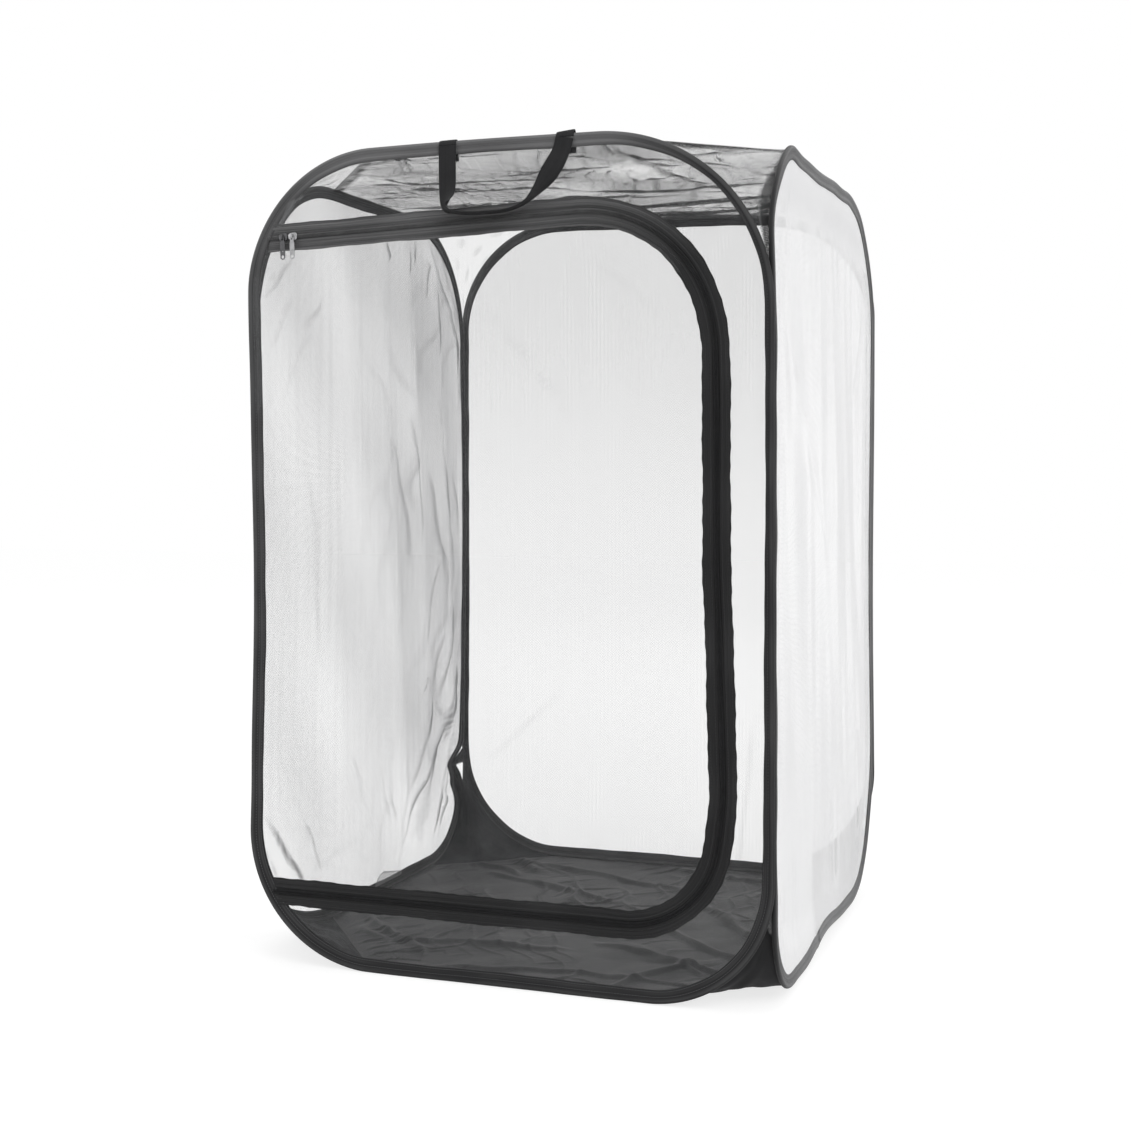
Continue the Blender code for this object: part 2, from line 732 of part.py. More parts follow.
def main():
    clearScene()
    cage = newCollection("insect_cage")
    cutters = newCollection("cutters")
    steel = newMaterial("spring_steel", (0.45, 0.45, 0.46), 0.35, 1.0)
    brass = newMaterial("crimp_metal", (0.55, 0.52, 0.45), 0.4, 1.0)
    tape = newMaterial("binding_tape", (0.075, 0.075, 0.078), 0.75, 0.0)
    paleNet = newMaterial("pale_net", (0.82, 0.83, 0.84), 0.8, 0.0)
    darkNet = newMaterial("dark_net", (0.10, 0.10, 0.105), 0.85, 0.0)
    floorCloth = newMaterial("floor_cloth", (0.07, 0.07, 0.073), 0.7, 0.0)
    zipTape = newMaterial("zip_tape", (0.03, 0.03, 0.032), 0.75, 0.0)
    coil = newMaterial("zip_coil", (0.025, 0.025, 0.027), 0.4, 0.0)
    nickel = newMaterial("nickel", (0.72, 0.72, 0.72), 0.25, 1.0)
    webbing = newMaterial("webbing", (0.035, 0.035, 0.037), 0.7, 0.0)
    satin = newMaterial("label_satin", (0.60, 0.60, 0.61), 0.5, 0.0)

    for name, panel in panels.items():
        addWire(name + "_hoop_wire", panel, steel, cage)
        addFerrule(name + "_hoop_ferrule", panel, brass, cage)
        addSleeve(name + "_sleeve", panel, tape, cage)

    for name in ("back", "right"):
        addFlatSheet(name + "_net", [hoopOutline(panels[name], netTuck)], netThickness, panels[name], 0.0,
                     paleNet, cage)
    left = panels["left"]
    leftEdge = [onPanel(left, along, height) for along, height in hoopOutline(left, netTuck)]
    leftCentre = onPanel(left, 0.0, leftHeight / 2)
    addRingSheet("left_net", leftEdge, leftCentre, foldRingShares, sideFold, netThickness, paleNet, cage)

    topEdge = octagon("top", topSeam, topRulingSteps, topEdgeSteps)
    addRingSheet("top_net", topEdge, topEdge.mean(axis=0), topRingShares, topFold, netThickness, darkNet, cage)
    floorEdge = octagon("bottom", floorSeam, 1, 1)
    floor = addFlatSheet("floor_panel", [floorEdge[:, :2]], floorThickness, None, 0.0, floorCloth, cage)
    floor.location = (0.0, 0.0, floorThickness / 2)
    for frontName in ("front", "back"):
        for sideName in ("left", "right"):
            corner = frontName + "_" + sideName
            addGusset("top_gusset_" + corner, frontName, sideName, "top", topSeam, paleNet, cage)
            addGusset("floor_gusset_" + corner, frontName, sideName, "bottom", floorSeam, floorCloth, cage)
    addLabel("care_label", satin, cage)

    front = panels["front"]
    tapeMiddle = (tapeBack + tapeFront) / 2
    coilMiddle = (coilBack + coilFront) / 2
    addFlatSheet("front_surround_net", [surroundLoop()], netThickness, front, 0.0, paleNet, cage)
    addFlatSheet("door_hinge_net", [hingeNetLoop()], netThickness, front, 0.0, paleNet, cage)
    addFlatSheet("zip_frame_tape", [frameStrip(coilNear, tapeReach)], tapeThickness, front, tapeMiddle,
                 zipTape, cage)
    addFlatSheet("zip_frame_coil", [frameStrip(coilNear, coilFar)], coilThickness, front, coilMiddle,
                 coil, cage)
    for name, isTop in (("top", True), ("bottom", False)):
        addFlatSheet("zip_" + name + "_end_tape", [zipEnd(isTop, -coilNear, -tapeReach)], tapeThickness, front,
                     tapeMiddle, zipTape, cage)
        addFlatSheet("zip_" + name + "_end_coil", [zipEnd(isTop, -coilNear, -coilFar)], coilThickness, front,
                     coilMiddle, coil, cage)

    doorNet = addFlatSheet("door_net", [doorRoute(-netToZip)], netThickness, front, 0.0,
                           paleNet, cage)
    doorTape = addFlatSheet("zip_door_tape", [doorStrip(-coilNear, -tapeReach)], tapeThickness, front,
                            tapeMiddle, zipTape, cage)
    doorCoil = addFlatSheet("zip_door_coil", [doorStrip(-coilNear, -coilFar)], coilThickness, front,
                            coilMiddle, coil, cage)
    addJoint("door_axis", (foldX, frontPlane - foldForward, 0.0), None, [doorNet, doorTape, doorCoil], cage)

    leftHeightAt = zipTopAt(sliderLeftX, 0.0)
    rightHeightAt = zipTopAt(sliderRightX, 0.0)
    leftSlider = addSlider("slider_left", sliderLeftX, nickel, cage, cutters)
    rightSlider = addSlider("slider_right", sliderRightX, nickel, cage, cutters)
    leftPull = addPull("pull_left", sliderLeftX, nickel, cage)
    rightPull = addPull("pull_right", sliderRightX, nickel, cage)
    leftTravel = addJoint("slider_left_axis", (sliderLeftX, frontPlane, leftHeightAt), None, [leftSlider], cage)
    rightTravel = addJoint("slider_right_axis", (sliderRightX, frontPlane, rightHeightAt), leftTravel,
                           [rightSlider], cage)
    addJoint("pull_left_axis", (sliderLeftX, frontPlane - pivotForward, leftHeightAt), leftTravel,
             [leftPull], cage)
    addJoint("pull_right_axis", (sliderRightX, frontPlane - pivotForward, rightHeightAt), rightTravel,
             [rightPull], cage)

    addAnchor("handle_anchor_left", handleLeftX, webbing, cage)
    addAnchor("handle_anchor_right", handleLeftX + handleSpan, webbing, cage)
    handle = addHandle("carry_handle", webbing, cage)
    addJoint("handle_axis", (handleLeftX, handleAxisY, pocketHeight), None, [handle], cage)


main()
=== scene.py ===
import math

import bmesh
import bpy
import numpy as np
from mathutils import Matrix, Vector


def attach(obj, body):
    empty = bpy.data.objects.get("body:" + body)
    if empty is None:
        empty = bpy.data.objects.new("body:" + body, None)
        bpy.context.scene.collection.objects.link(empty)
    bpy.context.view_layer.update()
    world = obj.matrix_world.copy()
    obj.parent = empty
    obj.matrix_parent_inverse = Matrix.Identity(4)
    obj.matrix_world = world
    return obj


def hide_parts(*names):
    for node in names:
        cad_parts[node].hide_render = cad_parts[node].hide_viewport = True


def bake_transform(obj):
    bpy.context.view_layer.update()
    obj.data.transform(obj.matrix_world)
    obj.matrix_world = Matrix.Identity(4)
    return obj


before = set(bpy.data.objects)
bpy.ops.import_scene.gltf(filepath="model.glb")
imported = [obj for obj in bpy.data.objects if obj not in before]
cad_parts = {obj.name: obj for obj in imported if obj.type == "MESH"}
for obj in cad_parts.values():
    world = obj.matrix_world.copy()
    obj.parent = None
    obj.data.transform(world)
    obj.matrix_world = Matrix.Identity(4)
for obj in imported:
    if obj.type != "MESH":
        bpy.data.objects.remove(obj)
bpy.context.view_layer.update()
scene = bpy.context.scene
print("frame loaded")

# The cage, in metres. Front faces -Y, and the floor is at zero
cage = {"width": 0.600, "depth": 0.600, "front": 0.906, "back": 0.915, "left": 0.903, "right": 0.892}
sleeveRadius = 0.00277
frontHalf = 0.3024
sideHalf = 0.2973
innerFace = 0.2971


# Shapes worked out as whole arrays

def smoothStep(low, high, value):
    # 0 below low, 1 above high, and the cubic 3t^2 - 2t^3 between
    share = np.clip((value - low) / (high - low), 0.0, 1.0)
    return share * share * (3.0 - 2.0 * share)


def unit(vectors):
    return vectors / np.linalg.norm(vectors, axis=-1, keepdims=True)


def squared(values, power):
    # A circle's cosines or sines drawn towards a square: sign times size to a power
    return np.sign(values) * np.abs(values) ** power


def lengthsAlong(points):
    # The length travelled along an open line at each of its points
    return np.concatenate([[0.0], np.cumsum(np.linalg.norm(np.diff(points, axis=0), axis=1))])


def roundTurn(steps):
    return np.linspace(0.0, 2 * math.pi, steps, endpoint=False)


def uvGrid(down, across):
    return np.stack(np.broadcast_arrays(down[:, None], across[None, :]), axis=-1)


def drift(first, second, rows):
    # A slow uneven surface: the sum of sines, each amount * sin(a * first + b * second + start)
    total = np.zeros_like(first)
    for amount, a, b, start in rows:
        total = total + amount * np.sin(a * first + b * second + start)
    return total


def creases(first, second, rows, wander=0.15):
    # Folds along lines that wander a little: a bell across the line, faded to nothing at its two ends.
    # Each row, in millimetres: start, end, width and depth, then how much cloth is doubled in the fold.
    # Returns the height and a mask of the doubled cloth
    height = np.zeros_like(first)
    mask = np.zeros_like(first)
    for *inMillimetres, doubled in rows:
        startA, startB, endA, endB, width, depth = (0.001 * value for value in inMillimetres)
        run = np.array([endA - startA, endB - startB])
        length = np.linalg.norm(run)
        run = run / length
        along = ((first - startA) * run[0] + (second - startB) * run[1]) / length
        away = (first - startA) * run[1] - (second - startB) * run[0]
        away = away + wander * width * np.sin(9.0 * along + 40.0 * startA)
        fade = smoothStep(-0.02, 0.22, along) * (1.0 - smoothStep(0.70, 1.02, along))
        bell = np.exp(-(away / width) ** 2) * fade
        height = height + depth * bell
        mask = np.maximum(mask, doubled * np.exp(-(away / (0.55 * width)) ** 2) * fade)
    return height, mask


def wrinkles(first, second, rows):
    # Long wandering wrinkles: a thin ridge stands up where a bent plane wave passes through nothing,
    # and a slow wave lets it come and go. Each row: waves along first and second, start, thinness, strength
    height = np.zeros_like(first)
    for a, b, start, thin, strength in rows:
        bent = (a * (first + 0.022 * np.sin(27 * second + start) + 0.006 * np.sin(83 * second + 3 * start))
                + b * (second + 0.016 * np.sin(21 * first + 2 * start) + 0.005 * np.sin(71 * first - start)))
        wave = np.sin(bent + 1.5 * np.sin(6 * first - 5 * second + start) + start)
        comes = smoothStep(-0.25, 0.75, np.sin(13 * first + 3 * start) * np.cos(11 * second - start)
                           + 0.3 * np.sin(37 * first + 29 * second))
        height = np.maximum(height, strength * comes * np.exp(-(wave / thin) ** 2))
    return height


def ringOf(points):
    # A closed line with its first point again at the end, and each point's share of its length
    closed = np.concatenate([points, points[:1]])
    steps = lengthsAlong(closed)
    return closed, steps / steps[-1]


def alongLine(points, shares):
    # Points of an open line at shares of its length
    steps = lengthsAlong(points)
    targets = np.asarray(shares) * steps[-1]
    return np.stack([np.interp(targets, steps, column) for column in points.T], axis=-1)


def fillLoop(loop, rows, columns, cornerShares):
    # Nested square rings: a grid point at (a, b) takes the ring of size max(|a|, |b|), and its place
    # on that ring is a share of the loop's length between the four corner shares.
    # The point is centre + size * (loop point - centre)
    closed, shares = ringOf(loop)
    centre = 0.5 * (loop.min(axis=0) + loop.max(axis=0))
    a, b = np.meshgrid(np.linspace(-1, 1, columns), np.linspace(-1, 1, rows))
    size = np.maximum(np.abs(a), np.abs(b))
    safe = np.maximum(size, 1e-9)
    ratioA, ratioB = a / safe, b / safe
    lowLeft, lowRight, topRight, topLeft = cornerShares
    bottom = lowLeft + (lowRight - lowLeft) * (ratioA + 1) / 2
    right = lowRight + (topRight - lowRight) * (ratioB + 1) / 2
    top = topRight + (topLeft - topRight) * (1 - ratioA) / 2
    left = topLeft + (lowLeft + 1 - topLeft) * (1 - ratioB) / 2
    place = np.where(b <= -size + 1e-9, bottom,
                     np.where(a >= size - 1e-9, right, np.where(b >= size - 1e-9, top, left)))
    place = np.mod(place, 1.0)
    edge = np.stack([np.interp(place, shares, closed[:, axis]) for axis in range(3)], axis=-1)
    return centre + size[..., None] * (edge - centre), size


def gridFaces(rows, columns, closedRows, closedColumns, start):
    across = np.arange(columns + (1 if closedColumns else 0))
    down = np.arange(rows + (1 if closedRows else 0))
    index = start + (down % rows)[:, None] * columns + (across % columns)[None, :]
    return np.stack([index[:-1, :-1], index[:-1, 1:], index[1:, 1:], index[1:, :-1]], axis=-1).reshape(-1, 4)


def gridCorners(uv):
    return np.stack([uv[:-1, :-1], uv[:-1, 1:], uv[1:, 1:], uv[1:, :-1]], axis=2).reshape(-1, 2)


def makePiece(name, grids, material, body, replaces=(), solid=False):
    # One object from grids of points. Each grid: points (rows, columns, 3), uv in metres one row or column
    # longer where the grid closes on itself, caps to close the two ends, masks by name
    points, faces, corners, masks = [], [], [], {}
    start = 0
    for grid in grids:
        shape = grid["points"]
        rows, columns = shape.shape[:2]
        closedRows = grid.get("closedRows", False)
        closedColumns = grid.get("closedColumns", False)
        points.append(shape.reshape(-1, 3))
        faces.extend(gridFaces(rows, columns, closedRows, closedColumns, start).tolist())
        uv = grid.get("uv")
        if uv is None:
            wide = columns + (1 if closedColumns else 0)
            high = rows + (1 if closedRows else 0)
            uv = np.stack(np.meshgrid(np.arange(wide) * 0.001, np.arange(high) * 0.001), axis=-1)
        corners.append(gridCorners(uv))
        if grid.get("caps"):
            first = list(range(start, start + columns))
            last = list(range(start + (rows - 1) * columns, start + rows * columns))
            faces.append(first[::-1])
            faces.append(last)
            corners.append(uv[0, :columns][::-1])
            corners.append(uv[-1, :columns])
        for key, values in grid.get("masks", {}).items():
            masks.setdefault(key, []).append(values.reshape(-1))
        start += rows * columns
    data = bpy.data.meshes.new(name)
    data.from_pydata(np.concatenate(points).tolist(), [], faces)
    layer = data.uv_layers.new(name="cloth")
    layer.uv.foreach_set("vector", np.concatenate(corners).astype(np.float32).ravel())
    for key, values in masks.items():
        attribute = data.attributes.new(key, "FLOAT", "POINT")
        attribute.data.foreach_set("value", np.concatenate(values).astype(np.float32))
    if solid:
        work = bmesh.new()
        work.from_mesh(data)
        bmesh.ops.recalc_face_normals(work, faces=work.faces)
        work.to_mesh(data)
        work.free()
    data.shade_smooth()
    item = bpy.data.objects.new(name, data)
    scene.collection.objects.link(item)
    data.materials.append(material)
    if isinstance(body, str):
        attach(item, body)
    else:
        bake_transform(item)
    if replaces:
        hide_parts(*replaces)
    return item


def slab(front, back, uv, caps=True, masks=None):
    # A closed strip from its front and back faces, both (rows, columns, 3)
    points = np.concatenate([front, back[:, ::-1]], axis=1)
    wrapped = np.concatenate([uv, uv[:, ::-1], uv[:, :1]], axis=1)
    grid = {"points": points, "closedColumns": True, "caps": caps, "uv": wrapped}
    if masks:
        grid["masks"] = {key: np.concatenate([values, values[:, ::-1]], axis=1)
                         for key, values in masks.items()}
    return grid


def sweep(path, radial, side, profile, caps=True, closedRows=False, scale=None):
    # A profile carried along a path: path + profile x * radial + profile y * side
    size = np.ones(len(path)) if scale is None else scale
    points = (path[:, None, :] + size[:, None, None] * (profile[None, :, :1] * radial[:, None, :]
                                                        + profile[None, :, 1:] * side[:, None, :]))
    return {"points": points, "closedColumns": True, "closedRows": closedRows, "caps": caps and not closedRows}


# Hoops. radii: rounded corners. bows push the hoop outward in its own plane and sways push it outward
# from the cage, both as (side, place along it, width, depth) in millimetres. bands widen the tape's band
# and shades paint light and shade on the tape in the same way, by a share added to the base shade, which mixes
# in its lit colours
hoops = {
    "front": {"half": frontHalf, "top": cage["front"], "plane": -cage["depth"] / 2, "alongY": False,
              "radii": (0.135, 0.190, 0.152, 0.152), "shade": 0.13,
              "bows": (("low", 410, 170, -6.2), ("low", 750, 70, 2.2), ("low", 190, 50, -1),
                       ("top", -50, 160, 2.2), ("high", 450, 200, -0.8), ("bottom", -110, 60, 0.6),
                       ("bottom", 100, 40, 0.8)),
              "sways": (("low", 420, 150, 1.5), ("high", 600, 200, 1.2), ("top", 100, 120, 0.8)),
              "bands": (("high", 550, 400, -0.62), ("high", 850, 90, -0.25), ("top", 260, 100, -0.55),
                        ("low", 50, 90, 0.25), ("bottom", -250, 90, 0.2)),
              "shades": (("low", 600, 400, 0.15), ("low", 860, 100, 0.24), ("top", -140, 170, 0.84),
                         ("top", 100, 100, 0.64), ("bottom", 0, 300, -0.12), ("high", 450, 400, -0.09))},
    "back": {"half": frontHalf, "top": cage["back"], "plane": cage["depth"] / 2, "alongY": False,
             "radii": (0.150, 0.155, 0.155, 0.150), "shade": 0.22,
             "bows": (("low", 450, 180, -3), ("high", 400, 200, -2.5), ("top", 50, 200, -3.5),
                      ("top", 190, 80, -7)),
             "sways": (("low", 300, 120, 1), ("high", 550, 150, 1)),
             "bands": (("low", 450, 450, -0.74), ("high", 450, 450, -0.4)),
             "shades": (("low", 620, 220, 0.2), ("bottom", 0, 350, 0.16))},
    "left": {"half": sideHalf, "top": cage["left"], "plane": -cage["width"] / 2, "alongY": True,
             "radii": (0.115, 0.165, 0.185, 0.185), "shade": 0.10,
             "bows": (("high", 134, 16, -30), ("high", 100, 27, -27), ("high", 500, 200, 2),
                      ("top", 0, 100, 0.6), ("low", 65, 45, 9.5), ("bottom", -245, 45, 9.5)),
             "sways": (("low", 410, 170, -6), ("low", 750, 70, 2), ("high", 450, 180, -3)),
             "bands": (("high", 580, 380, -0.82), ("high", 125, 55, 0.55), ("low", 60, 50, -0.5),
                       ("bottom", -245, 50, -0.5), ("high", 240, 70, -0.35)),
             "shades": ()},
    "right": {"half": sideHalf, "top": cage["right"], "plane": cage["width"] / 2, "alongY": True,
              "radii": (0.180, 0.180, 0.100, 0.098), "shade": 0.08,
              "bows": (("top", -215, 45, 5.2), ("top", -130, 35, 1.5), ("top", 22, 55, 3.5),
                       ("top", 105, 40, 4.5), ("top", 200, 60, 6.5), ("high", 800, 70, 8.5),
                       ("high", 450, 100, -2), ("bottom", -30, 100, -17.5), ("bottom", 130, 90, -10),
                       ("bottom", -200, 50, -6), ("high", 70, 70, -16), ("bottom", -82, 6, 1.6)),
              "sways": (("high", 400, 200, -2.2), ("top", 0, 100, 2), ("low", 450, 200, -0.6),
                        ("low", 800, 80, -3)),
              "bands": (("high", 450, 350, 0.55), ("low", 450, 500, -0.25)),
              "shades": (("top", 0, 400, 0.6), ("high", 450, 500, 0.45), ("bottom", 0, 400, 0.72),
                         ("bottom", -73.5, 2.2, -0.6))}}

sides = {"low": (-1.0, 0.0), "high": (1.0, 0.0), "top": (0.0, 1.0), "bottom": (0.0, -1.0)}


def hoopTable(hoop):
    # Dense points and outward normals of a rounded rectangle, counter-clockwise from its bottom's middle
    lowHigh, topHigh, topLow, lowLow = hoop["radii"]
    half, top = hoop["half"], hoop["top"]
    rows = [np.array([[0.0, 0.0, 0.0, -1.0]])]
    corners = ((half - lowHigh, lowHigh, lowHigh, -0.5), (half - topHigh, top - topHigh, topHigh, 0.0),
               (-half + topLow, top - topLow, topLow, 0.5), (-half + lowLow, lowLow, lowLow, 1.0))
    for centreX, centreZ, radius, start in corners:
        angle = math.pi * (start + np.linspace(0.0, 0.5, 90))
        rows.append(np.stack([centreX + radius * np.cos(angle), centreZ + radius * np.sin(angle),
                              np.cos(angle), np.sin(angle)], axis=1))
    rows.append(rows[0])
    table = np.concatenate(rows)
    steps = lengthsAlong(table[:, :2])
    return table, steps / steps[-1], steps[-1]


for hoop in hoops.values():
    hoop["table"] = hoopTable(hoop)


def pushes(rows, places, normals):
    # Sum of bells along each side, weighted by how much the hoop faces that side
    total = np.zeros(len(places))
    for side, centre, width, depth in rows:
        facing = np.clip(normals @ np.array(sides[side]), 0.0, 1.0) ** 2
        along = places[:, 1] if side in ("low", "high") else places[:, 0]
        total = total + depth * facing * np.exp(-((along - 0.001 * centre) / (0.001 * width)) ** 2)
    return total


def toCage(hoop, along, height, outward):
    side = 1.0 if hoop["plane"] > 0 else -1.0
    level = hoop["plane"] + side * outward
    level = np.broadcast_to(level, np.shape(along))
    return np.stack([level, along, height] if hoop["alongY"] else [along, level, height], axis=-1)


def onHoop(name, shares):
    # Places and outward normals of the undisturbed hoop
    table, steps, _ = hoops[name]["table"]
    wrapped = np.mod(shares, 1.0)
    values = np.stack([np.interp(wrapped, steps, table[:, axis]) for axis in range(4)], axis=1)
    return values[:, :2], values[:, 2:] / np.linalg.norm(values[:, 2:], axis=1, keepdims=True)


def hoopLine(name, shares, inset=0.0, lift=0.0):
    # Points round a hoop, moved in by inset and outward from the cage by lift
    hoop = hoops[name]
    places, normals = onHoop(name, shares)
    push = 0.001 * pushes(hoop["bows"], places, normals)
    sway = 0.001 * pushes(hoop["sways"], places, normals)
    place = places + normals * (push - inset)[:, None]
    return toCage(hoop, place[:, 0], np.maximum(place[:, 1], 0.0002), sway + lift)


def hoopShare(name, side, level, value):
    # The share of the hoop's length where one side reaches a place: side low or high by height, level top or
    # bottom by the place along the run
    fine = np.linspace(0, 1, 20001)
    places, normals = onHoop(name, fine)
    if side is None:
        on = normals[:, 1] > 0.7 if level == "top" else normals[:, 1] < -0.7
        return fine[np.argmin(np.abs(places[:, 0] - value) + np.where(on, 0.0, 9.0))]
    on = places[:, 0] > 0 if side == "high" else places[:, 0] < 0
    return fine[np.argmin(np.abs(places[:, 1] - value) + np.where(on, 0.0, 9.0))]


# Node helpers

def maths(tree, operation, *inputs, clamp=False):
    node = tree.nodes.new("ShaderNodeMath")
    node.operation = operation
    node.use_clamp = clamp
    for place, value in enumerate(inputs):
        if isinstance(value, (int, float)):
            node.inputs[place].default_value = value
        else:
            tree.links.new(value, node.inputs[place])
    return node.outputs[0]


def plus(tree, first, second, clamp=False):
    return maths(tree, "ADD", first, second, clamp=clamp)


def minus(tree, first, second, clamp=False):
    return maths(tree, "SUBTRACT", first, second, clamp=clamp)


def times(tree, first, second, clamp=False):
    return maths(tree, "MULTIPLY", first, second, clamp=clamp)


def splitOf(tree, vector):
    node = tree.nodes.new("ShaderNodeSeparateXYZ")
    tree.links.new(vector, node.inputs[0])
    return node.outputs


def noise(tree, vector, scale, detail=2.0, roughness=0.5):
    node = tree.nodes.new("ShaderNodeTexNoise")
    node.inputs["Scale"].default_value = scale
    node.inputs["Detail"].default_value = detail
    node.inputs["Roughness"].default_value = roughness
    tree.links.new(vector, node.inputs["Vector"])
    return node.outputs[0]


def stretched(tree, vector, scale):
    node = tree.nodes.new("ShaderNodeVectorMath")
    node.operation = "MULTIPLY"
    tree.links.new(vector, node.inputs[0])
    node.inputs[1].default_value = scale
    return node.outputs[0]


def mixed(tree, factor, first, second):
    node = tree.nodes.new("ShaderNodeMix")
    node.data_type = "RGBA"
    tree.links.new(factor, node.inputs[0])
    for socket, value in ((node.inputs[6], first), (node.inputs[7], second)):
        if isinstance(value, (tuple, list)):
            socket.default_value = (*value, 1.0)
        else:
            tree.links.new(value, socket)
    return node.outputs[2]


def newGroup(name, values, outputs):
    # A node group that takes a vector and some values, and puts out values
    tree = bpy.data.node_groups.new(name, "ShaderNodeTree")
    tree.interface.new_socket(name="Vector", in_out="INPUT", socket_type="NodeSocketVector")
    for inOut, labels in (("INPUT", values), ("OUTPUT", outputs)):
        for label in labels:
            tree.interface.new_socket(name=label, in_out=inOut, socket_type="NodeSocketFloat")
    return tree, tree.nodes.new("NodeGroupInput").outputs, tree.nodes.new("NodeGroupOutput").inputs


def placeGroup(tree, group, **values):
    node = tree.nodes.new("ShaderNodeGroup")
    node.node_tree = group
    for label, value in values.items():
        if isinstance(value, (int, float)):
            node.inputs[label].default_value = value
        else:
            tree.links.new(value, node.inputs[label])
    return node


def makeNetGroup():
    # Tulle: three cosine waves at sixty degrees add up to a honeycomb of threads round open holes
    group, source, target = newGroup("netThreads", ["Pitch", "Threshold", "Softness", "Opacity", "Fold"],
                                     ["Alpha", "Height"])
    split = splitOf(group, source["Vector"])
    turn = maths(group, "DIVIDE", 4.0 * math.pi / math.sqrt(3.0), source["Pitch"])
    wobble = times(group, minus(group, noise(group, source["Vector"], 130.0, 1.0), 0.5), 1.1)
    x, y = (plus(group, times(group, split[axis], turn), wobble) for axis in (0, 1))
    halfX = times(group, x, 0.5)
    slantY = times(group, y, math.sqrt(3.0) / 2)
    slanted = plus(group, maths(group, "COSINE", plus(group, halfX, slantY)),
                   maths(group, "COSINE", minus(group, halfX, slantY)))
    waves = plus(group, maths(group, "COSINE", x), slanted)
    level = plus(group, source["Threshold"], times(group, source["Fold"], 2.6))
    thread = plus(group, maths(group, "DIVIDE", minus(group, level, waves), source["Softness"]), 0.5,
                  clamp=True)
    strength = plus(group, source["Opacity"], times(group, source["Fold"], 0.45), clamp=True)
    group.links.new(times(group, thread, strength), target["Alpha"])
    group.links.new(thread, target["Height"])
    return group


def makeWeaveGroup():
    # Plain weave: the product of two sine waves gives the over and under of warp and weft
    group, source, target = newGroup("plainWeave", ["Pitch"], ["Height", "Shade"])
    split = splitOf(group, source["Vector"])
    turn = maths(group, "DIVIDE", 2.0 * math.pi, source["Pitch"])
    across, down = (maths(group, "SINE", times(group, split[axis], turn)) for axis in (0, 1))
    height = plus(group, times(group, times(group, across, down), 0.5), 0.5)
    fuzz = noise(group, source["Vector"], 900.0, 2.0)
    group.links.new(height, target["Height"])
    group.links.new(plus(group, times(group, height, 0.6), times(group, fuzz, 0.4)), target["Shade"])
    return group


def makeStitchGroup():
    # Stitches: dashes along U at a set V, each a soft oval
    group, source, target = newGroup("stitchRow", ["Line", "Pitch", "Width"], ["Mask"])
    split = splitOf(group, source["Vector"])
    place = maths(group, "FRACT", maths(group, "DIVIDE", split[0], source["Pitch"]))
    dash = times(group, maths(group, "ABSOLUTE", minus(group, place, 0.5)), 2.6)
    away = maths(group, "DIVIDE", minus(group, split[1], source["Line"]), source["Width"])
    far = plus(group, maths(group, "POWER", dash, 4.0), times(group, away, away))
    group.links.new(minus(group, 1.25, far, clamp=True), target["Mask"])
    return group


netGroup = makeNetGroup()
weaveGroup = makeWeaveGroup()
stitchGroup = makeStitchGroup()


def startMaterial(name, roughness, metallic=0.0, sheen=0.0, specular=0.5):
    material = bpy.data.materials.new(name)
    material.use_nodes = True
    tree = material.node_tree
    shader = tree.nodes["Principled BSDF"]
    shader.inputs["Roughness"].default_value = roughness
    shader.inputs["Metallic"].default_value = metallic
    shader.inputs["Sheen Weight"].default_value = sheen
    shader.inputs["Sheen Roughness"].default_value = 0.4
    shader.inputs["Specular IOR Level"].default_value = specular
    return material, tree, shader


def uvOf(tree):
    node = tree.nodes.new("ShaderNodeUVMap")
    node.uv_map = "cloth"
    return node.outputs[0]


def objectOf(tree):
    return tree.nodes.new("ShaderNodeTexCoord").outputs["Object"]


def maskOf(tree, name):
    node = tree.nodes.new("ShaderNodeAttribute")
    node.attribute_name = name
    return node.outputs["Fac"]


def bumpOf(tree, shader, height, distance, strength=1.0):
    node = tree.nodes.new("ShaderNodeBump")
    node.inputs["Strength"].default_value = strength
    node.inputs["Distance"].default_value = distance
    tree.links.new(height, node.inputs["Height"])
    tree.links.new(node.outputs[0], shader.inputs["Normal"])


def netMaterial(name, look):
    # look: thread colour and its darker tone, pitch, threshold, softness, opacity, and the colour of painted
    # shade in folds.
    # The fold mask doubles the net and darkens it with painted shade, and the dense mask only draws its threads
    # closer
    material, tree, shader = startMaterial(name, 0.85, specular=0.2)
    vector = uvOf(tree)
    streak = noise(tree, stretched(tree, vector, (150.0, 12.0, 1.0)), 1.0, 2.0)
    patch = noise(tree, objectOf(tree), 7.0, 2.0)
    fold, dense = maskOf(tree, "fold"), maskOf(tree, "dense")
    tone = plus(tree, times(tree, streak, 0.6), times(tree, patch, 0.4))
    tone = times(tree, minus(tree, tone, 0.32), 2.6, clamp=True)
    colour = mixed(tree, tone, look["dark"], look["light"])
    colour = mixed(tree, times(tree, fold, look["foldShade"], clamp=True), colour, look["foldShadeColour"])
    tree.links.new(colour, shader.inputs["Base Color"])
    opacity = plus(tree, look["opacity"], times(tree, minus(tree, streak, 0.5), look["streak"]))
    opacity = plus(tree, opacity, times(tree, dense, 0.4), clamp=True)
    threshold = plus(tree, look["threshold"], times(tree, dense, 1.4))
    threads = placeGroup(tree, netGroup, Vector=vector, Pitch=look["pitch"], Threshold=threshold,
                         Softness=look["softness"], Opacity=opacity, Fold=fold)
    tree.links.new(threads.outputs["Alpha"], shader.inputs["Alpha"])
    bumpOf(tree, shader, threads.outputs["Height"], 0.0002, 0.5)
    return material


stitchShape = {"Pitch": 0.0032, "Width": 0.00035}


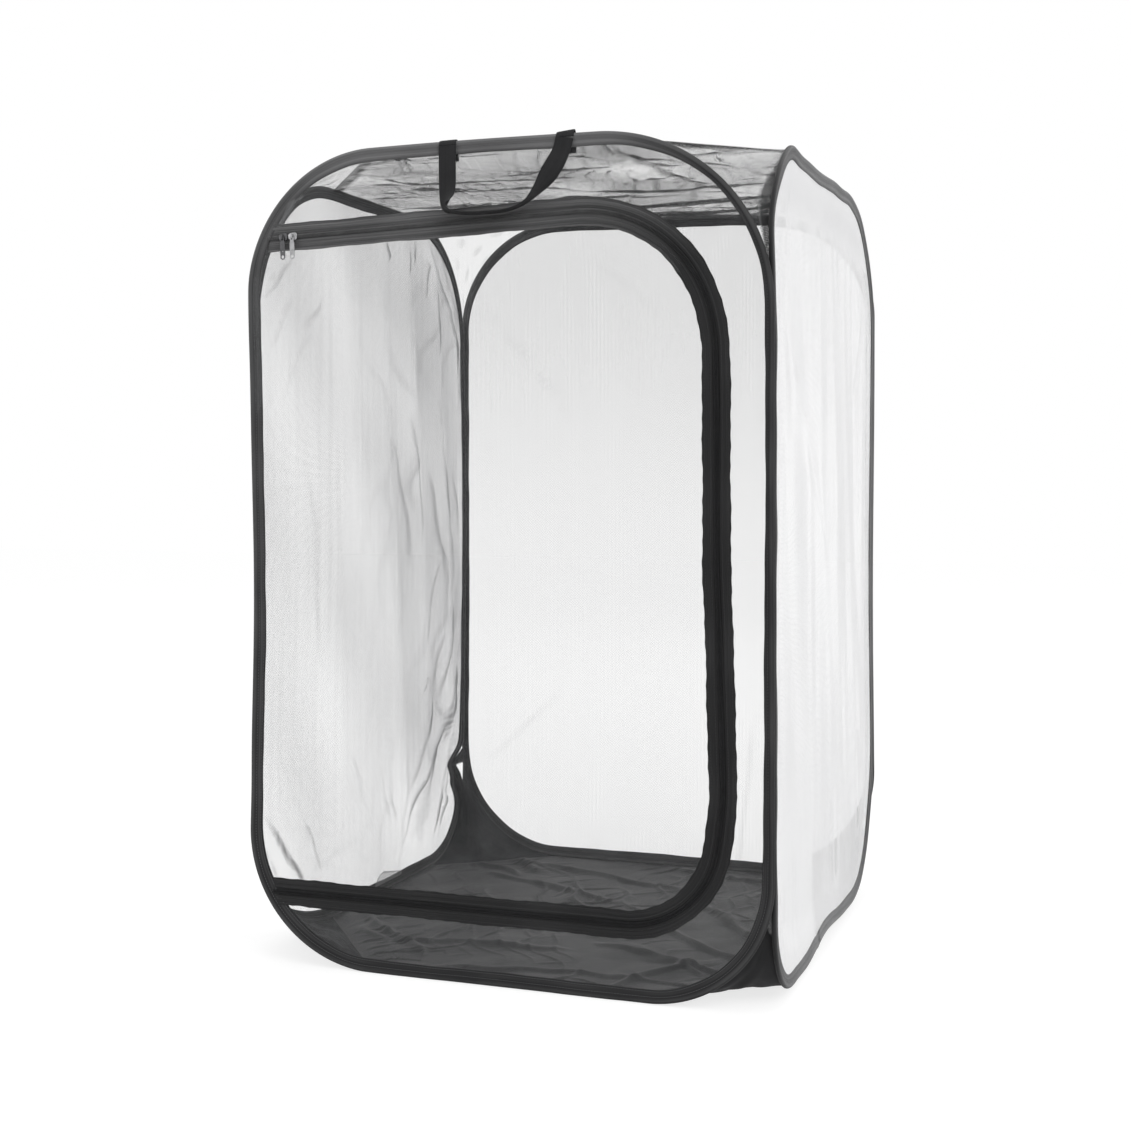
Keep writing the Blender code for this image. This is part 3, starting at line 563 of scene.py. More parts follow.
def clothMaterial(name, look):
    # look: dark and light colours, roughness, sheen, weave pitch and depth, streak along U, rows of stitches
    # by V. Where it has lit colours too, the shade mask mixes them in as painted light
    material, tree, shader = startMaterial(name, look["roughness"], 0.0, look["sheen"], look["specular"])
    vector = uvOf(tree)
    weave = placeGroup(tree, weaveGroup, Vector=vector, Pitch=look["pitch"])
    patch = noise(tree, objectOf(tree), look["patch"], 3.0)
    streak = noise(tree, stretched(tree, vector, (6.0, 700.0, 1.0)), 1.0, 2.0)
    tone = plus(tree, times(tree, patch, 0.45), plus(tree, times(tree, streak, look["streak"]),
                                                     times(tree, weave.outputs["Shade"], 0.35)))
    tone = times(tree, minus(tree, tone, 0.30 + 0.35 * look["streak"]), 2.2, clamp=True)
    colour = mixed(tree, tone, look["dark"], look["light"])
    # Lit copies of the cloth's colour: painted light where the shade mask is high
    if "litDark" in look:
        pale = mixed(tree, tone, look["litDark"], look["litLight"])
        colour = mixed(tree, maskOf(tree, "shade"), colour, pale)
    height = plus(tree, weave.outputs["Height"], times(tree, streak, 1.2))
    for line in look.get("stitches", ()):
        row = placeGroup(tree, stitchGroup, Vector=vector, Line=line, **stitchShape)
        colour = mixed(tree, times(tree, row.outputs["Mask"], 0.7), colour, look["thread"])
        height = plus(tree, height, times(tree, row.outputs["Mask"], 2.0))
    tree.links.new(colour, shader.inputs["Base Color"])
    rough = plus(tree, look["roughness"] - 0.08, times(tree, patch, 0.16))
    tree.links.new(rough, shader.inputs["Roughness"])
    bumpOf(tree, shader, height, look["depth"])
    return material


def metalMaterial(name, look):
    material, tree, shader = startMaterial(name, look["roughness"], 1.0)
    place = objectOf(tree)
    blotch = noise(tree, place, 260.0, 4.0)
    scratch = noise(tree, stretched(tree, place, (2500.0, 300.0, 300.0)), 1.0, 3.0)
    tree.links.new(mixed(tree, blotch, look["dark"], look["light"]), shader.inputs["Base Color"])
    tree.links.new(plus(tree, look["roughness"], times(tree, scratch, 0.22)),
                   shader.inputs["Roughness"])
    bumpOf(tree, shader, scratch, 0.00004, 0.6)
    return material


netLooks = {
    "front": {"dark": (0.28, 0.285, 0.29), "light": (0.40, 0.405, 0.41), "pitch": 0.0017, "threshold": -0.98,
              "softness": 0.35, "opacity": 0.38, "streak": 0.05, "foldShade": 0.6,
              "foldShadeColour": (0.22, 0.22, 0.23)},
    # side: the same white net as the right panel, its threads greyed: painted shade on the left panel's inside
    "side": {"dark": (0.44, 0.44, 0.45), "light": (0.56, 0.56, 0.57), "pitch": 0.0017, "threshold": -1.15,
             "softness": 0.35, "opacity": 0.92, "streak": 0.12, "foldShade": 0.7,
             "foldShadeColour": (0.26, 0.26, 0.27)},
    "bright": {"dark": (0.92, 0.92, 0.925), "light": (0.96, 0.96, 0.965), "pitch": 0.0017, "threshold": 0.30,
               "softness": 0.35, "opacity": 0.97, "streak": 0.06, "foldShade": 0.5,
               "foldShadeColour": (0.50, 0.50, 0.51)},
    "dark": {"dark": (0.024, 0.024, 0.025), "light": (0.070, 0.070, 0.072), "pitch": 0.0017, "threshold": -0.79,
             "softness": 0.35, "opacity": 0.88, "streak": 0.30, "foldShade": 0.5,
             "foldShadeColour": (0.010, 0.010, 0.010)},
    "label": {"dark": (0.42, 0.42, 0.425), "light": (0.54, 0.54, 0.545), "pitch": 0.0006, "threshold": 3.0,
              "softness": 0.35, "opacity": 0.45, "streak": 0.10, "foldShade": 0.8,
              "foldShadeColour": (0.16, 0.16, 0.162)}}

clothLooks = {
    "sleeve": {"dark": (0.009, 0.009, 0.010), "light": (0.034, 0.034, 0.035), "litDark": (0.16, 0.16, 0.162),
               "litLight": (0.30, 0.30, 0.304), "roughness": 0.72, "sheen": 0.10, "specular": 0.25,
               "pitch": 0.0009, "depth": 0.00012, "patch": 9.0, "streak": 0.55,
               "stitches": (0.0074, 0.0132), "thread": (0.15, 0.15, 0.155)},
    "zipTape": {"dark": (0.003, 0.003, 0.0033), "light": (0.017, 0.017, 0.018),
                "litDark": (0.075, 0.075, 0.076),
                "litLight": (0.210, 0.210, 0.213), "roughness": 0.50, "sheen": 0.04, "specular": 0.25,
                "pitch": 0.0008, "depth": 0.00012, "patch": 12.0, "streak": 0.70,
                "stitches": (0.0060, 0.0125), "thread": (0.05, 0.05, 0.052)},
    "floor": {"dark": (0.009, 0.009, 0.010), "light": (0.033, 0.033, 0.035), "roughness": 0.55, "sheen": 0.06,
              "specular": 0.35,
              "pitch": 0.0010, "depth": 0.00010, "patch": 14.0, "streak": 0.10},
    "webbing": {"dark": (0.008, 0.008, 0.009), "light": (0.032, 0.032, 0.034), "roughness": 0.66, "sheen": 0.08,
                "specular": 0.25,
                "pitch": 0.0013, "depth": 0.00030, "patch": 30.0, "streak": 0.25},
    "coil": {"dark": (0.008, 0.008, 0.009), "light": (0.030, 0.030, 0.032), "roughness": 0.38,
             "litDark": (0.085, 0.085, 0.086), "litLight": (0.230, 0.230, 0.233),
             "sheen": 0.0, "specular": 0.3, "pitch": 0.0010, "depth": 0.00002,
             "patch": 60.0, "streak": 0.2}}

frontNetLook = netMaterial("paleNetFront", netLooks["front"])
shadedNetLook = netMaterial("paleNetShaded", netLooks["side"])
brightNetLook = netMaterial("paleNetBright", netLooks["bright"])
darkNetLook = netMaterial("darkNet", netLooks["dark"])
sleeveLook = clothMaterial("bindingTape", clothLooks["sleeve"])
zipTapeLook = clothMaterial("zipTape", clothLooks["zipTape"])
floorLook = clothMaterial("floorCloth", clothLooks["floor"])
webbingLook = clothMaterial("handleWebbing", clothLooks["webbing"])
labelLook = netMaterial("labelSatin", netLooks["label"])
nickelLook = metalMaterial("nickel",
                           {"dark": (0.24, 0.24, 0.245), "light": (0.52, 0.52, 0.53), "roughness": 0.24})
# The same nickel darker: painted shade on the left slider and its pull
shadedNickelLook = metalMaterial("nickelShaded",
                               {"dark": (0.05, 0.05, 0.053), "light": (0.17, 0.17, 0.176), "roughness": 0.34})
steelLook = metalMaterial("springSteel",
                          {"dark": (0.30, 0.30, 0.31), "light": (0.50, 0.50, 0.51), "roughness": 0.30})
brassLook = metalMaterial("crimpBrass",
                          {"dark": (0.36, 0.33, 0.26), "light": (0.58, 0.54, 0.45), "roughness": 0.32})
coilLook = clothMaterial("zipCoil", clothLooks["coil"])
print("materials ready")

# Sleeves and the wires in them
sleeveShape = {"band": 0.0150, "hemHalf": 0.0012, "rings": 560, "waviness": 0.0006, "lumps": 0.05,
               "edge": 0.0004, "seam": 0.0062, "seamHalf": 0.0015, "bandFrom": 0.0060, "twist": 0.0005}
wireShape = {"radius": 0.001, "tube": 0.0016, "tubeHalf": 0.008, "dip": 0.10, "dipAt": 0.0042,
             "dipWidth": 0.0011}
s = sleeveShape
hem = np.array([[s["band"], s["edge"]], [s["band"] - s["edge"], s["hemHalf"]],
                [0.0105, s["hemHalf"]], [0.0082, s["hemHalf"]], [s["seam"], s["seamHalf"]]])
theta = np.radians(np.linspace(50, 310, 13))
roundPart = np.stack([sleeveRadius * (1 + np.cos(theta)), sleeveRadius * np.sin(theta)], axis=1)
sleeveProfile = np.concatenate([hem, roundPart, hem[::-1] * (1, -1)])

# Painted highlight on the tape's crown over the wire and painted shade in the seam behind it: insets, then what
# is added
sleeveCrownLightSeamShade = ((0.0, 0.0028, 0.0056, 0.0072, 0.0092, 0.0125, 0.0150),
                (-0.12, 0.15, -0.06, -0.28, 0.03, 0.08, -0.18))


def hoopTube(name, shares, radii, steps):
    # A tube round the line of a hoop's wire
    return np.stack([hoopLine(name, shares, sleeveRadius - radii * math.cos(angle), radii * math.sin(angle))
                     for angle in roundTurn(steps)], axis=1)


for place, (name, hoop) in enumerate(hoops.items()):
    shares = np.linspace(0.0, 1.0, s["rings"], endpoint=False)
    length = hoop["table"][2]
    run = shares * length
    turnAt = 2 * math.pi * shares
    wave = s["waviness"] * drift(turnAt, turnAt, ((0.6, 9 + place, 0, 1.0 + place), (0.4, 23, 0, 2.0),
                                                  (0.25, 51, 0, 0.5)))
    lump = 1.0 + s["lumps"] * drift(turnAt, turnAt, ((0.5, 17, 0, 0.3 + place), (0.5, 41, 0, 1.7)))
    twist = s["twist"] * drift(turnAt, turnAt, ((0.6, 13, 0, 2.0 + place), (0.5, 29, 0, 1.0)))
    places, normals = onHoop(name, shares)
    widen = 1.0 + pushes(hoop["bands"], places, normals)
    columns = []
    for inset, lift in sleeveProfile:
        outer = min(1.0, inset / s["band"])
        inward = inset * lump
        if inset >= s["bandFrom"]:
            inward = s["bandFrom"] + (inset - s["bandFrom"]) * widen + wave * outer
        columns.append(hoopLine(name, shares, inward, lift * lump + twist * outer))
    points = np.stack(columns, axis=1)
    # Painted light and shade on the tape: the base shade and the shades by place set how far its colour goes to
    # the lit colours
    shade = np.clip(hoop["shade"] + pushes(hoop["shades"], places, normals), 0.0, 1.0)
    shade = shade + 0.06 * drift(turnAt, turnAt, ((0.5, 11, 0, 0.4 + place), (0.5, 31, 0, 1.3)))
    shade = np.clip(shade[:, None] + np.interp(sleeveProfile[:, 0], *sleeveCrownLightSeamShade)[None, :], 0.0, 1.0)
    across = np.concatenate([sleeveProfile[:, 0], sleeveProfile[:1, 0]])
    alongRun = np.concatenate([run, [length]])
    uv = uvGrid(alongRun, across)
    makePiece(name + "SleeveTape", [{"points": points, "closedRows": True, "closedColumns": True, "uv": uv,
                                     "masks": {"shade": shade}}],
              sleeveLook, "frame", [name + "_sleeve"], solid=True)
    wire = hoopTube(name, shares, wireShape["radius"], 8)
    makePiece(name + "SpringWire", [{"points": wire, "closedRows": True, "closedColumns": True}],
              steelLook, "frame", [name + "_hoop_wire"], solid=True)
    # The crimped tube that joins the wire's ends: its radius dips at the two crimps
    tube = np.linspace(-wireShape["tubeHalf"], wireShape["tubeHalf"], 41)
    dips = np.exp(-((np.abs(tube) - wireShape["dipAt"]) / wireShape["dipWidth"]) ** 2)
    crimp = hoopTube(name, tube / length, wireShape["tube"] * (1.0 - wireShape["dip"] * dips), 16)
    makePiece(name + "CrimpTube", [{"points": crimp, "closedColumns": True, "caps": True}], brassLook, "frame",
              [name + "_hoop_ferrule"], solid=True)
print("sleeves ready")


# Net panels
netTuck = 0.0065


def cornerMiddles(name):
    # Shares of a hoop's length at the middles of its four rounded corners, from the bottom left one
    table, steps, _ = hoops[name]["table"]
    middles = [steps[1 + 90 * corner + 45] for corner in range(4)]
    return (middles[3] - 1.0, middles[0], middles[1], middles[2])


def faceAndBack(item, thickness):
    # The two faces of the knitted net, a thread apart
    wall = item.modifiers.new("twoFaces", "SOLIDIFY")
    wall.thickness = thickness
    wall.offset = 0.0
    wall.use_rim = False


def panelNet(name, rows, columns, relief, material, replaces, thickness):
    # A net filled into its hoop, pushed outward by relief(along, height, fade), which is nothing at the hem
    hoop = hoops[name]
    shares = np.linspace(0.0, 1.0, 1200, endpoint=False)
    loop = hoopLine(name, shares, netTuck)
    points, size = fillLoop(loop, rows, columns, cornerMiddles(name))
    along = points[..., 1] if hoop["alongY"] else points[..., 0]
    height = points[..., 2]
    fade = 1.0 - smoothStep(0.88, 0.955, size)
    push, fold, dense = relief(along, height, fade)
    axis = 0 if hoop["alongY"] else 1
    points = points.copy()
    points[..., axis] += math.copysign(1.0, hoop["plane"]) * push
    uv = np.stack([along, height], axis=-1)
    net = makePiece(name + "PanelNet", [{"points": points, "uv": uv, "masks": {"fold": fold, "dense": dense}}],
                    material, "frame", replaces)
    if thickness:
        faceAndBack(net, thickness)
    return net


def backRelief(along, height, fade):
    push = 0.0025 * fade + drift(along, height, ((0.0007, 9, 5, 0.4), (0.0005, 21, -8, 1.3))) * fade
    corner = creases(along, height, (
        (-270, 800, -120, 620, 6, 1.2, 0.1), (270, 820, 130, 600, 6, 1.2, 0.1),
        (-270, 120, -140, 250, 6, 1, 0.08)))
    dense = 0.36 * smoothStep(0.42, 0.86, height) + 0.12 * (1 - smoothStep(0.10, 0.35, height))
    return push + corner[0] * fade, corner[1] * fade, dense


# Folds of the left net, from start to end as (along, height)
leftFolds = (
    (172, 884, 258, 759, 4.5, 4, 0.5), (206, 882, 297, 748, 4.5, 4.2, 0.6),
    (247, 866, 294, 806, 3.5, 3.5, 0.55), (235, 800, 292, 640, 4, 4.5, 0.5), (262, 815, 297, 610, 3.5, 4, 0.5),
    (40, 859, 49, 831, 4, 3, 0.45), (133, 872, 126, 837, 4, 3, 0.45), (110, 860, 98, 815, 3.5, 2.4, 0.25),
    (165, 850, 155, 790, 4.5, 2.5, 0.2), (190, 820, 205, 710, 6, 3.2, 0.18),
    (-271, 748, -213, 807, 4, 2.4, 0.16), (-189, 721, -140, 762, 4.5, 2, 0.09),
    (-265, 690, -215, 760, 4.5, 1.4, 0.04), (-240, 640, -165, 730, 6, 1.4, 0.03),
    (60, 600, 110, 420, 8, 3, 0.12), (100, 640, 150, 440, 7, 2.8, 0.12), (165, 560, 215, 380, 8, 3.5, 0.15),
    (205, 600, 260, 360, 9, 4, 0.16), (250, 560, 285, 380, 6, 4, 0.2), (200, 440, 155, 300, 3.5, 2.2, 0.14),
    (133, 239, 169, 279, 2.2, 2, 0.2), (285, 260, 70, 46, 5, 3.6, 0.35), (280, 290, 149, 99, 4.5, 3.6, 0.35),
    (269, 193, 182, 23, 4, 3.6, 0.6), (280, 255, 216, 172, 3.5, 3, 0.45), (262, 165, 206, 30, 3.5, 3.2, 0.55),
    (290, 330, 240, 200, 5.5, 3.4, 0.25), (255, 380, 200, 220, 7, 4, 0.18), (215, 330, 150, 170, 6, 3, 0.15),
    (180, 240, 110, 110, 7, 2.8, 0.12), (-278, 160, -160, 30, 4.4, 3, 0.62),
    (-280, 128, -200, 30, 3.6, 2.2, 0.42), (-280, 100, -225, 30, 3.4, 2, 0.42),
    (-190, 140, -140, 60, 3, 1.8, 0.14), (-60, 200, -30, 120, 4.5, 1.2, 0.05), (20, 170, 50, 80, 4, 1.2, 0.06),
    (45, 130, 62, 85, 2.5, 1.4, 0.12), (-180, 560, -150, 300, 12, 2, 0.04))


def leftRelief(along, height, fade):
    # Drape folds that fan towards the back edge, over a slow inward bow. The net is drawn together at the back
    back = 0.5 + along / (2 * sideHalf)
    lean = along + 0.10 * height
    # Held flat where the hoop is pushed in, low at the back
    fade = fade * (1.0 - smoothStep(0.052, 0.032, np.hypot(along - 0.245, height - 0.130)))
    push = -0.0040 * fade - 0.0045 * fade * back * np.cos(2 * math.pi * lean / 0.085)
    push = push + fade * drift(along, height,
                               ((0.0006, 60, 6, 0.2), (0.0004, 140, 12, 1.1), (0.0003, 230, -9, 2.2)))
    lines = creases(along, height, leftFolds, 0.35)
    soft = wrinkles(along, height,
                    ((46, 9, 0.4, 0.34, 0.9), (34, -13, 1.7, 0.30, 0.7))) * smoothStep(-0.10, 0.15, along)
    wave = 0.5 - 0.5 * np.cos(2 * math.pi * lean / 0.085)
    # Painted shade: the threads grow denser towards the back and the top, so the grey net reads darker there
    shadeAt = np.interp(along, [-0.3, -0.1, 0.0, 0.08, 0.16, 0.24, 0.3],
                        [0.01, 0.01, 0.06, 0.13, 0.19, 0.24, 0.18])
    middle = smoothStep(0.06, 0.24, height) * (1.0 - 0.5 * smoothStep(0.76, 0.88, height))
    dense = shadeAt * middle * (0.72 + 0.28 * wave) + 0.10 * soft * back + 0.09 * smoothStep(0.6, 0.9, height)
    corner = smoothStep(0.03, 0.0, (height - 0.115) + (along + 0.25) * 1.05)
    dense = dense - 0.06 * corner + 0.05 * drift(along, height, ((0.5, 37, 11, 0.3), (0.5, 19, 23, 1.0)))
    return (push - lines[0] * fade - 0.0012 * soft * fade,
            np.clip(lines[1] + 0.05 * soft, 0, 1) * np.maximum(fade, 0.3), dense)


rightFolds = (
    (-270, 110, -262, 30, 4, 2, 0.22), (-235, 120, -225, 20, 4, 2, 0.18), (-250, 90, -243, 18, 3, 1.8, 0.18),
    (-190, 150, -180, 20, 6, 2.2, 0.08), (-270, 850, -262, 730, 6, 2, 0.16),
    (-215, 860, -222, 740, 6, 2, 0.14), (-245, 800, -240, 690, 8, 2, 0.08), (250, 780, 180, 640, 7, 2.2, 0.08),
    (260, 120, 180, 230, 7, 2.2, 0.08), (0, 170, 20, 30, 8, 2.2, 0.06))


def rightRelief(along, height, fade):
    push = -0.0020 * fade + fade * drift(along, height,
                                         ((0.0012, 14, 3, 0.6), (0.0006, 37, -5, 1.9), (0.0004, 70, 8, 0.1)))
    lines = creases(along, height, rightFolds)
    doubled = (1 - smoothStep(-0.105, -0.085, along)) * (1 - smoothStep(0.14, 0.30, height))
    dense = 0.9 * doubled + 0.12 * drift(along, height, ((0.5, 23, 5, 0.7), (0.5, 11, 13, 1.9)))
    # Painted shade: the fold mask greys the top of the panel
    high = 0.85 * smoothStep(0.805, 0.850, height)
    return push - lines[0] * fade, np.clip(lines[1] + high, 0, 1), dense


panelNet("back", 100, 70, backRelief, frontNetLook, ["back_net"], 0.0)
panelNet("left", 260, 180, leftRelief, shadedNetLook, ["left_net"], 0.0006)
panelNet("right", 160, 120, rightRelief, brightNetLook, ["right_net"], 0.0006)
print("side and back nets ready")

# Zip: its middle line round the door
zipShape = {"park": 0.8138, "slope": math.tan(0.029340), "startX": -0.2574, "right": 0.2445, "bottom": 0.080,
            "topRadius": 0.150, "bottomRadius": 0.102, "near": 0.00006, "reach": 0.0155, "fromX": -0.2795,
            "toX": -0.2735, "coilNear": -0.0004, "coilWidth": 0.0030, "coilThickness": 0.0020,
            "coilPitch": 0.0016,
            "thread": 0.00039}
# How the right side wanders: outward by the second row at the heights of the first
zipWander = np.array([[0.08, 0.14, 0.1735, 0.215, 0.276, 0.337, 0.3987, 0.46, 0.62, 0.70, 0.77, 0.82],
                      [0.0, 0.0, -0.0012, 0.0047, 0.0031, 0.001, 0.0, -0.0026, -0.0026, -0.0042, -0.0022, 0.0]])
# How the tapes stand out of the panel and ripple, and how the coil lies on them
tapeShape = {"lift": 0.0014, "thickness": 0.0006, "backTop": 0.0009, "edgeDrop": 0.0003, "endDrop": 0.0008,
             "scallop": 0.0006, "scallopPitch": 0.021, "ridge": 0.00034, "fineRidge": 0.00016, "rise": 0.0004}
coilShape = {"lift": 0.0016, "ends": 0.002}
slopeAngle = math.atan(zipShape["slope"])
foldX = -0.2314


def zipTable():
    # Dense points and outward normals: top run, quarter circle, right side, quarter circle, bottom run
    z = zipShape
    topCentreX = z["right"] - z["topRadius"]
    topCentreZ = z["park"] + (topCentreX - z["startX"]) * z["slope"] - z["topRadius"] / math.cos(slopeAngle)
    first = np.linspace(math.pi / 2 + slopeAngle, 0.0, 120)
    second = np.linspace(0.0, -math.pi / 2, 120)
    lowCentreX, lowCentreZ = z["right"] - z["bottomRadius"], z["bottom"] + z["bottomRadius"]
    startZ = z["park"] + (z["fromX"] - z["startX"]) * z["slope"]
    return np.concatenate([
        [[z["fromX"], startZ, -math.sin(slopeAngle), math.cos(slopeAngle)]],
        np.stack([topCentreX + z["topRadius"] * np.cos(first), topCentreZ + z["topRadius"] * np.sin(first),
                  np.cos(first), np.sin(first)], axis=1),
        np.stack([lowCentreX + z["bottomRadius"] * np.cos(second),
                  lowCentreZ + z["bottomRadius"] * np.sin(second),
                  np.cos(second), np.sin(second)], axis=1),
        [[z["toX"], z["bottom"], 0.0, -1.0]]])


zipDense = zipTable()
zipSteps = lengthsAlong(zipDense[:, :2])
zipLength = zipSteps[-1]


# Distances along the zip between which the light on its top run fades
topLitEnds = (0.34, 0.52)
wanderAt = np.linspace(0.0, 0.9, 361)
wanderBy = np.interp(wanderAt, *zipWander)
wanderBy = np.convolve(np.pad(wanderBy, 12, "edge"), np.hanning(27)[1:-1] / np.hanning(27).sum(), "valid")


def frontSway(x, z):
    # The front panel's right part stands a little outward at its mid-height
    return 0.0012 * np.exp(-((z - 0.5) / 0.25) ** 2) * smoothStep(0.0, 0.25, x)


def zipLine(distances, offset, forward):
    # Points of the zip at distances along it, moved outward from the door by offset
    # and forward out of the panel
    values = np.stack([np.interp(distances, zipSteps, zipDense[:, axis]) for axis in range(4)], axis=-1)
    normal = unit(values[..., 2:])
    wander = np.interp(values[..., 1], wanderAt, wanderBy) * np.clip(normal[..., 0], 0.0, 1.0)
    place = values[..., :2] + normal * (np.asarray(offset) + wander)[..., None]
    level = -cage["depth"] / 2 - forward - frontSway(place[..., 0], place[..., 1])
    return np.stack([place[..., 0], np.broadcast_to(level, place[..., 0].shape), place[..., 1]], axis=-1)


def stations(step, fine, fineStep=0.0015):
    # Distances along the zip, closer together near the two crossings of the fold
    coarse = np.arange(0.0, zipLength, step)
    closer = np.concatenate([np.arange(spot - fine, spot + fine, fineStep) for spot in foldSpots])
    merged = np.unique(np.concatenate([coarse, closer, [zipLength]]))
    return merged[np.concatenate([[True], np.diff(merged) > 0.0004])]


foldSpots = (foldX - zipShape["fromX"], zipLength - (foldX - zipShape["toX"]))
foldAt = ((foldX - 0.004, -0.3, 0.45), (foldX + 0.004, -0.3, 0.45))
zipRun = stations(0.004, 0.010)
endFade = np.minimum(smoothStep(0.0, 0.012, zipRun), smoothStep(0.0, 0.012, zipLength - zipRun))
topLit = 1.0 - smoothStep(*topLitEnds, zipRun)

for name, side, body, nodes in (
        ("zipTapeFrameSide", 1.0, "frame", ["zip_frame_tape"]),
        ("zipTapeDoorSide", -1.0, ("frame", "door", *foldAt),
         ["zip_door_tape", "zip_top_end_tape", "zip_bottom_end_tape"])):
    # Each tape ripples lengthwise, and its sewn edge is scalloped between the stitches
    t = tapeShape
    shares = np.linspace(0.0, 1.0, 27)
    scallop = t["scallop"] * np.abs(np.sin(math.pi * zipRun / t["scallopPitch"] + side)) * (1.2 - 0.7 * topLit)
    reach = zipShape["reach"] - scallop + drift(zipRun, zipRun, ((0.0004, 40, 0, side), (0.0003, 97, 0, 2)))
    offsets = side * (zipShape["near"] + shares[None, :] * (reach - zipShape["near"])[:, None])
    ridge = t["ridge"] * np.cos(2 * math.pi * shares * 3.0)[None, :]
    ridge = ridge * (0.7 + 0.3 * np.sin(31 * zipRun))[:, None]
    fineWave = shares[None, :] * 6.5 + 0.6 * np.sin(17 * zipRun)[:, None]
    ridge = ridge + t["fineRidge"] * np.cos(2 * math.pi * fineWave)
    rise = t["rise"] * drift(zipRun, zipRun, ((0.6, 23, 0, 0.3), (0.4, 61, 0, side)))
    rise = rise[:, None] * shares[None, :] ** 2
    front = t["lift"] + (ridge + rise) * endFade[:, None] - t["endDrop"] * (1.0 - endFade)[:, None]
    edge = t["edgeDrop"] * (shares[None, :] > 0.97)
    distances = zipRun[:, None] + 0 * offsets
    frontFace = zipLine(distances, offsets, front - edge)
    backFace = zipLine(distances, offsets, np.minimum(front - t["thickness"], t["backTop"]) + 0 * offsets)
    uv = np.stack(np.broadcast_arrays(zipRun[:, None], np.abs(offsets)), axis=-1)
    # Painted light on the tape's top run, fading out along the zip, varied across and along the tape
    shade = topLit[:, None] * (0.85 + 0.30 * side * np.cos(2 * math.pi * shares * 1.5)[None, :])
    shade = np.clip(shade + 0.08 * np.sin(43 * zipRun)[:, None] * shares[None, :], 0.0, 1.0)
    makePiece(name, [slab(frontFace, backFace, uv, masks={"shade": shade})], zipTapeLook, body,
              nodes, solid=True)


def coilGrid(side):
    # A flattened helix: across the tape by cosine, out of the tape by sine, one turn for each pitch
    coilLength = zipLength - 2 * coilShape["ends"]
    turns = int(coilLength / zipShape["coilPitch"])
    steps = turns * 8
    angle = np.linspace(0.0, 2 * math.pi * turns, steps) + (0.0 if side > 0 else math.pi)
    distance = coilShape["ends"] + coilLength * np.linspace(0.0, 1.0, steps)
    thread = zipShape["thread"]
    halfWide = zipShape["coilWidth"] / 2 - thread
    halfThick = zipShape["coilThickness"] / 2 - thread
    offset = side * (zipShape["coilNear"] + zipShape["coilWidth"] / 2 + halfWide * np.cos(angle))
    level = coilShape["lift"] + zipShape["coilThickness"] / 2
    forward = level + halfThick * np.sin(angle)
    path = zipLine(distance, offset, forward)
    middle = zipLine(distance, np.full(steps, side * (zipShape["coilNear"] + zipShape["coilWidth"] / 2)), level)
    tangent = np.gradient(path, axis=0)
    tangent = unit(tangent)
    radial = path - middle
    radial -= np.sum(radial * tangent, axis=1, keepdims=True) * tangent
    radial = unit(radial)
    binormal = np.cross(tangent, radial)
    turn = roundTurn(5)
    coil = sweep(path, radial, binormal, thread * np.stack([np.cos(turn), np.sin(turn)], axis=1))
    # Painted light on the coil's top run, as on the tapes
    lit = 1.0 - smoothStep(*topLitEnds, distance)
    coil["masks"] = {"shade": np.repeat(lit[:, None], len(turn), axis=1)}
    return coil


makePiece("zipCoilFrameSide", [coilGrid(1.0)], coilLook, "frame", ["zip_frame_coil"], solid=True)
makePiece("zipCoilDoorSide", [coilGrid(-1.0)], coilLook, ("frame", "door", *foldAt),
          ["zip_door_coil", "zip_top_end_coil", "zip_bottom_end_coil"], solid=True)
print("zip ready")

# Front nets: the surround between hoop and zip, and the door with its hinge strip
netToZip = 0.0060
surroundRows = np.linspace(0.0, 1.0, 420)
topStart = hoopShare("front", "low", None, 0.8245)
bottomStop = hoopShare("front", "low", None, 0.0735)
innerLine = zipLine(np.linspace(0.0, zipLength, 420), np.full(420, netToZip), 0.0)
outerFine = hoopLine("front", topStart + np.linspace(0, 1, 2400) * (bottomStop - 1.0 - topStart), netTuck)
outerLine = alongLine(outerFine, surroundRows)
across = np.linspace(0.0, 1.0, 26)
surround = innerLine[:, None, :] + across[None, :, None] * (outerLine - innerLine)[:, None, :]
fade = np.clip(np.minimum(across, 1 - across) * 6, 0, 1)[None, :]
surroundFold, surroundMask = creases(surround[..., 0], surround[..., 2], (
    (-274, 815, -226, 880, 5, 2.5, 0.75), (-262, 820, -246, 870, 3, 2, 0.5),
    (-150, 890, -110, 850, 4, 1, 0.05), (280, 300, 262, 120, 5, 1, 0.12), (-255, 60, -220, 30, 4, 1.5, 0.25),
    (200, 55, 235, 35, 4, 1.2, 0.15)))
slack = drift(surround[..., 0], surround[..., 2], ((0.0005, 25, 9, 0.2), (0.0003, 60, -30, 1.0))) * fade
surround = surround.copy()
surround[..., 1] -= slack + 0.5 * surroundFold * fade
uv = surround[..., [0, 2]]
surroundNet = makePiece("frontSurroundNet", [{"points": surround, "uv": uv, "masks": {"fold": surroundMask}}],
                        frontNetLook, "frame", ["front_surround_net"])

doorRows = 110
rowShare = 0.5 - 0.5 * np.cos(math.pi * np.linspace(0.0, 1.0, doorRows))
lowZ, highZ = zipShape["bottom"] + netToZip, zipShape["park"] - netToZip
rowZ = lowZ + (highZ - lowZ) * rowShare
rightEdge = zipShape["right"] - netToZip
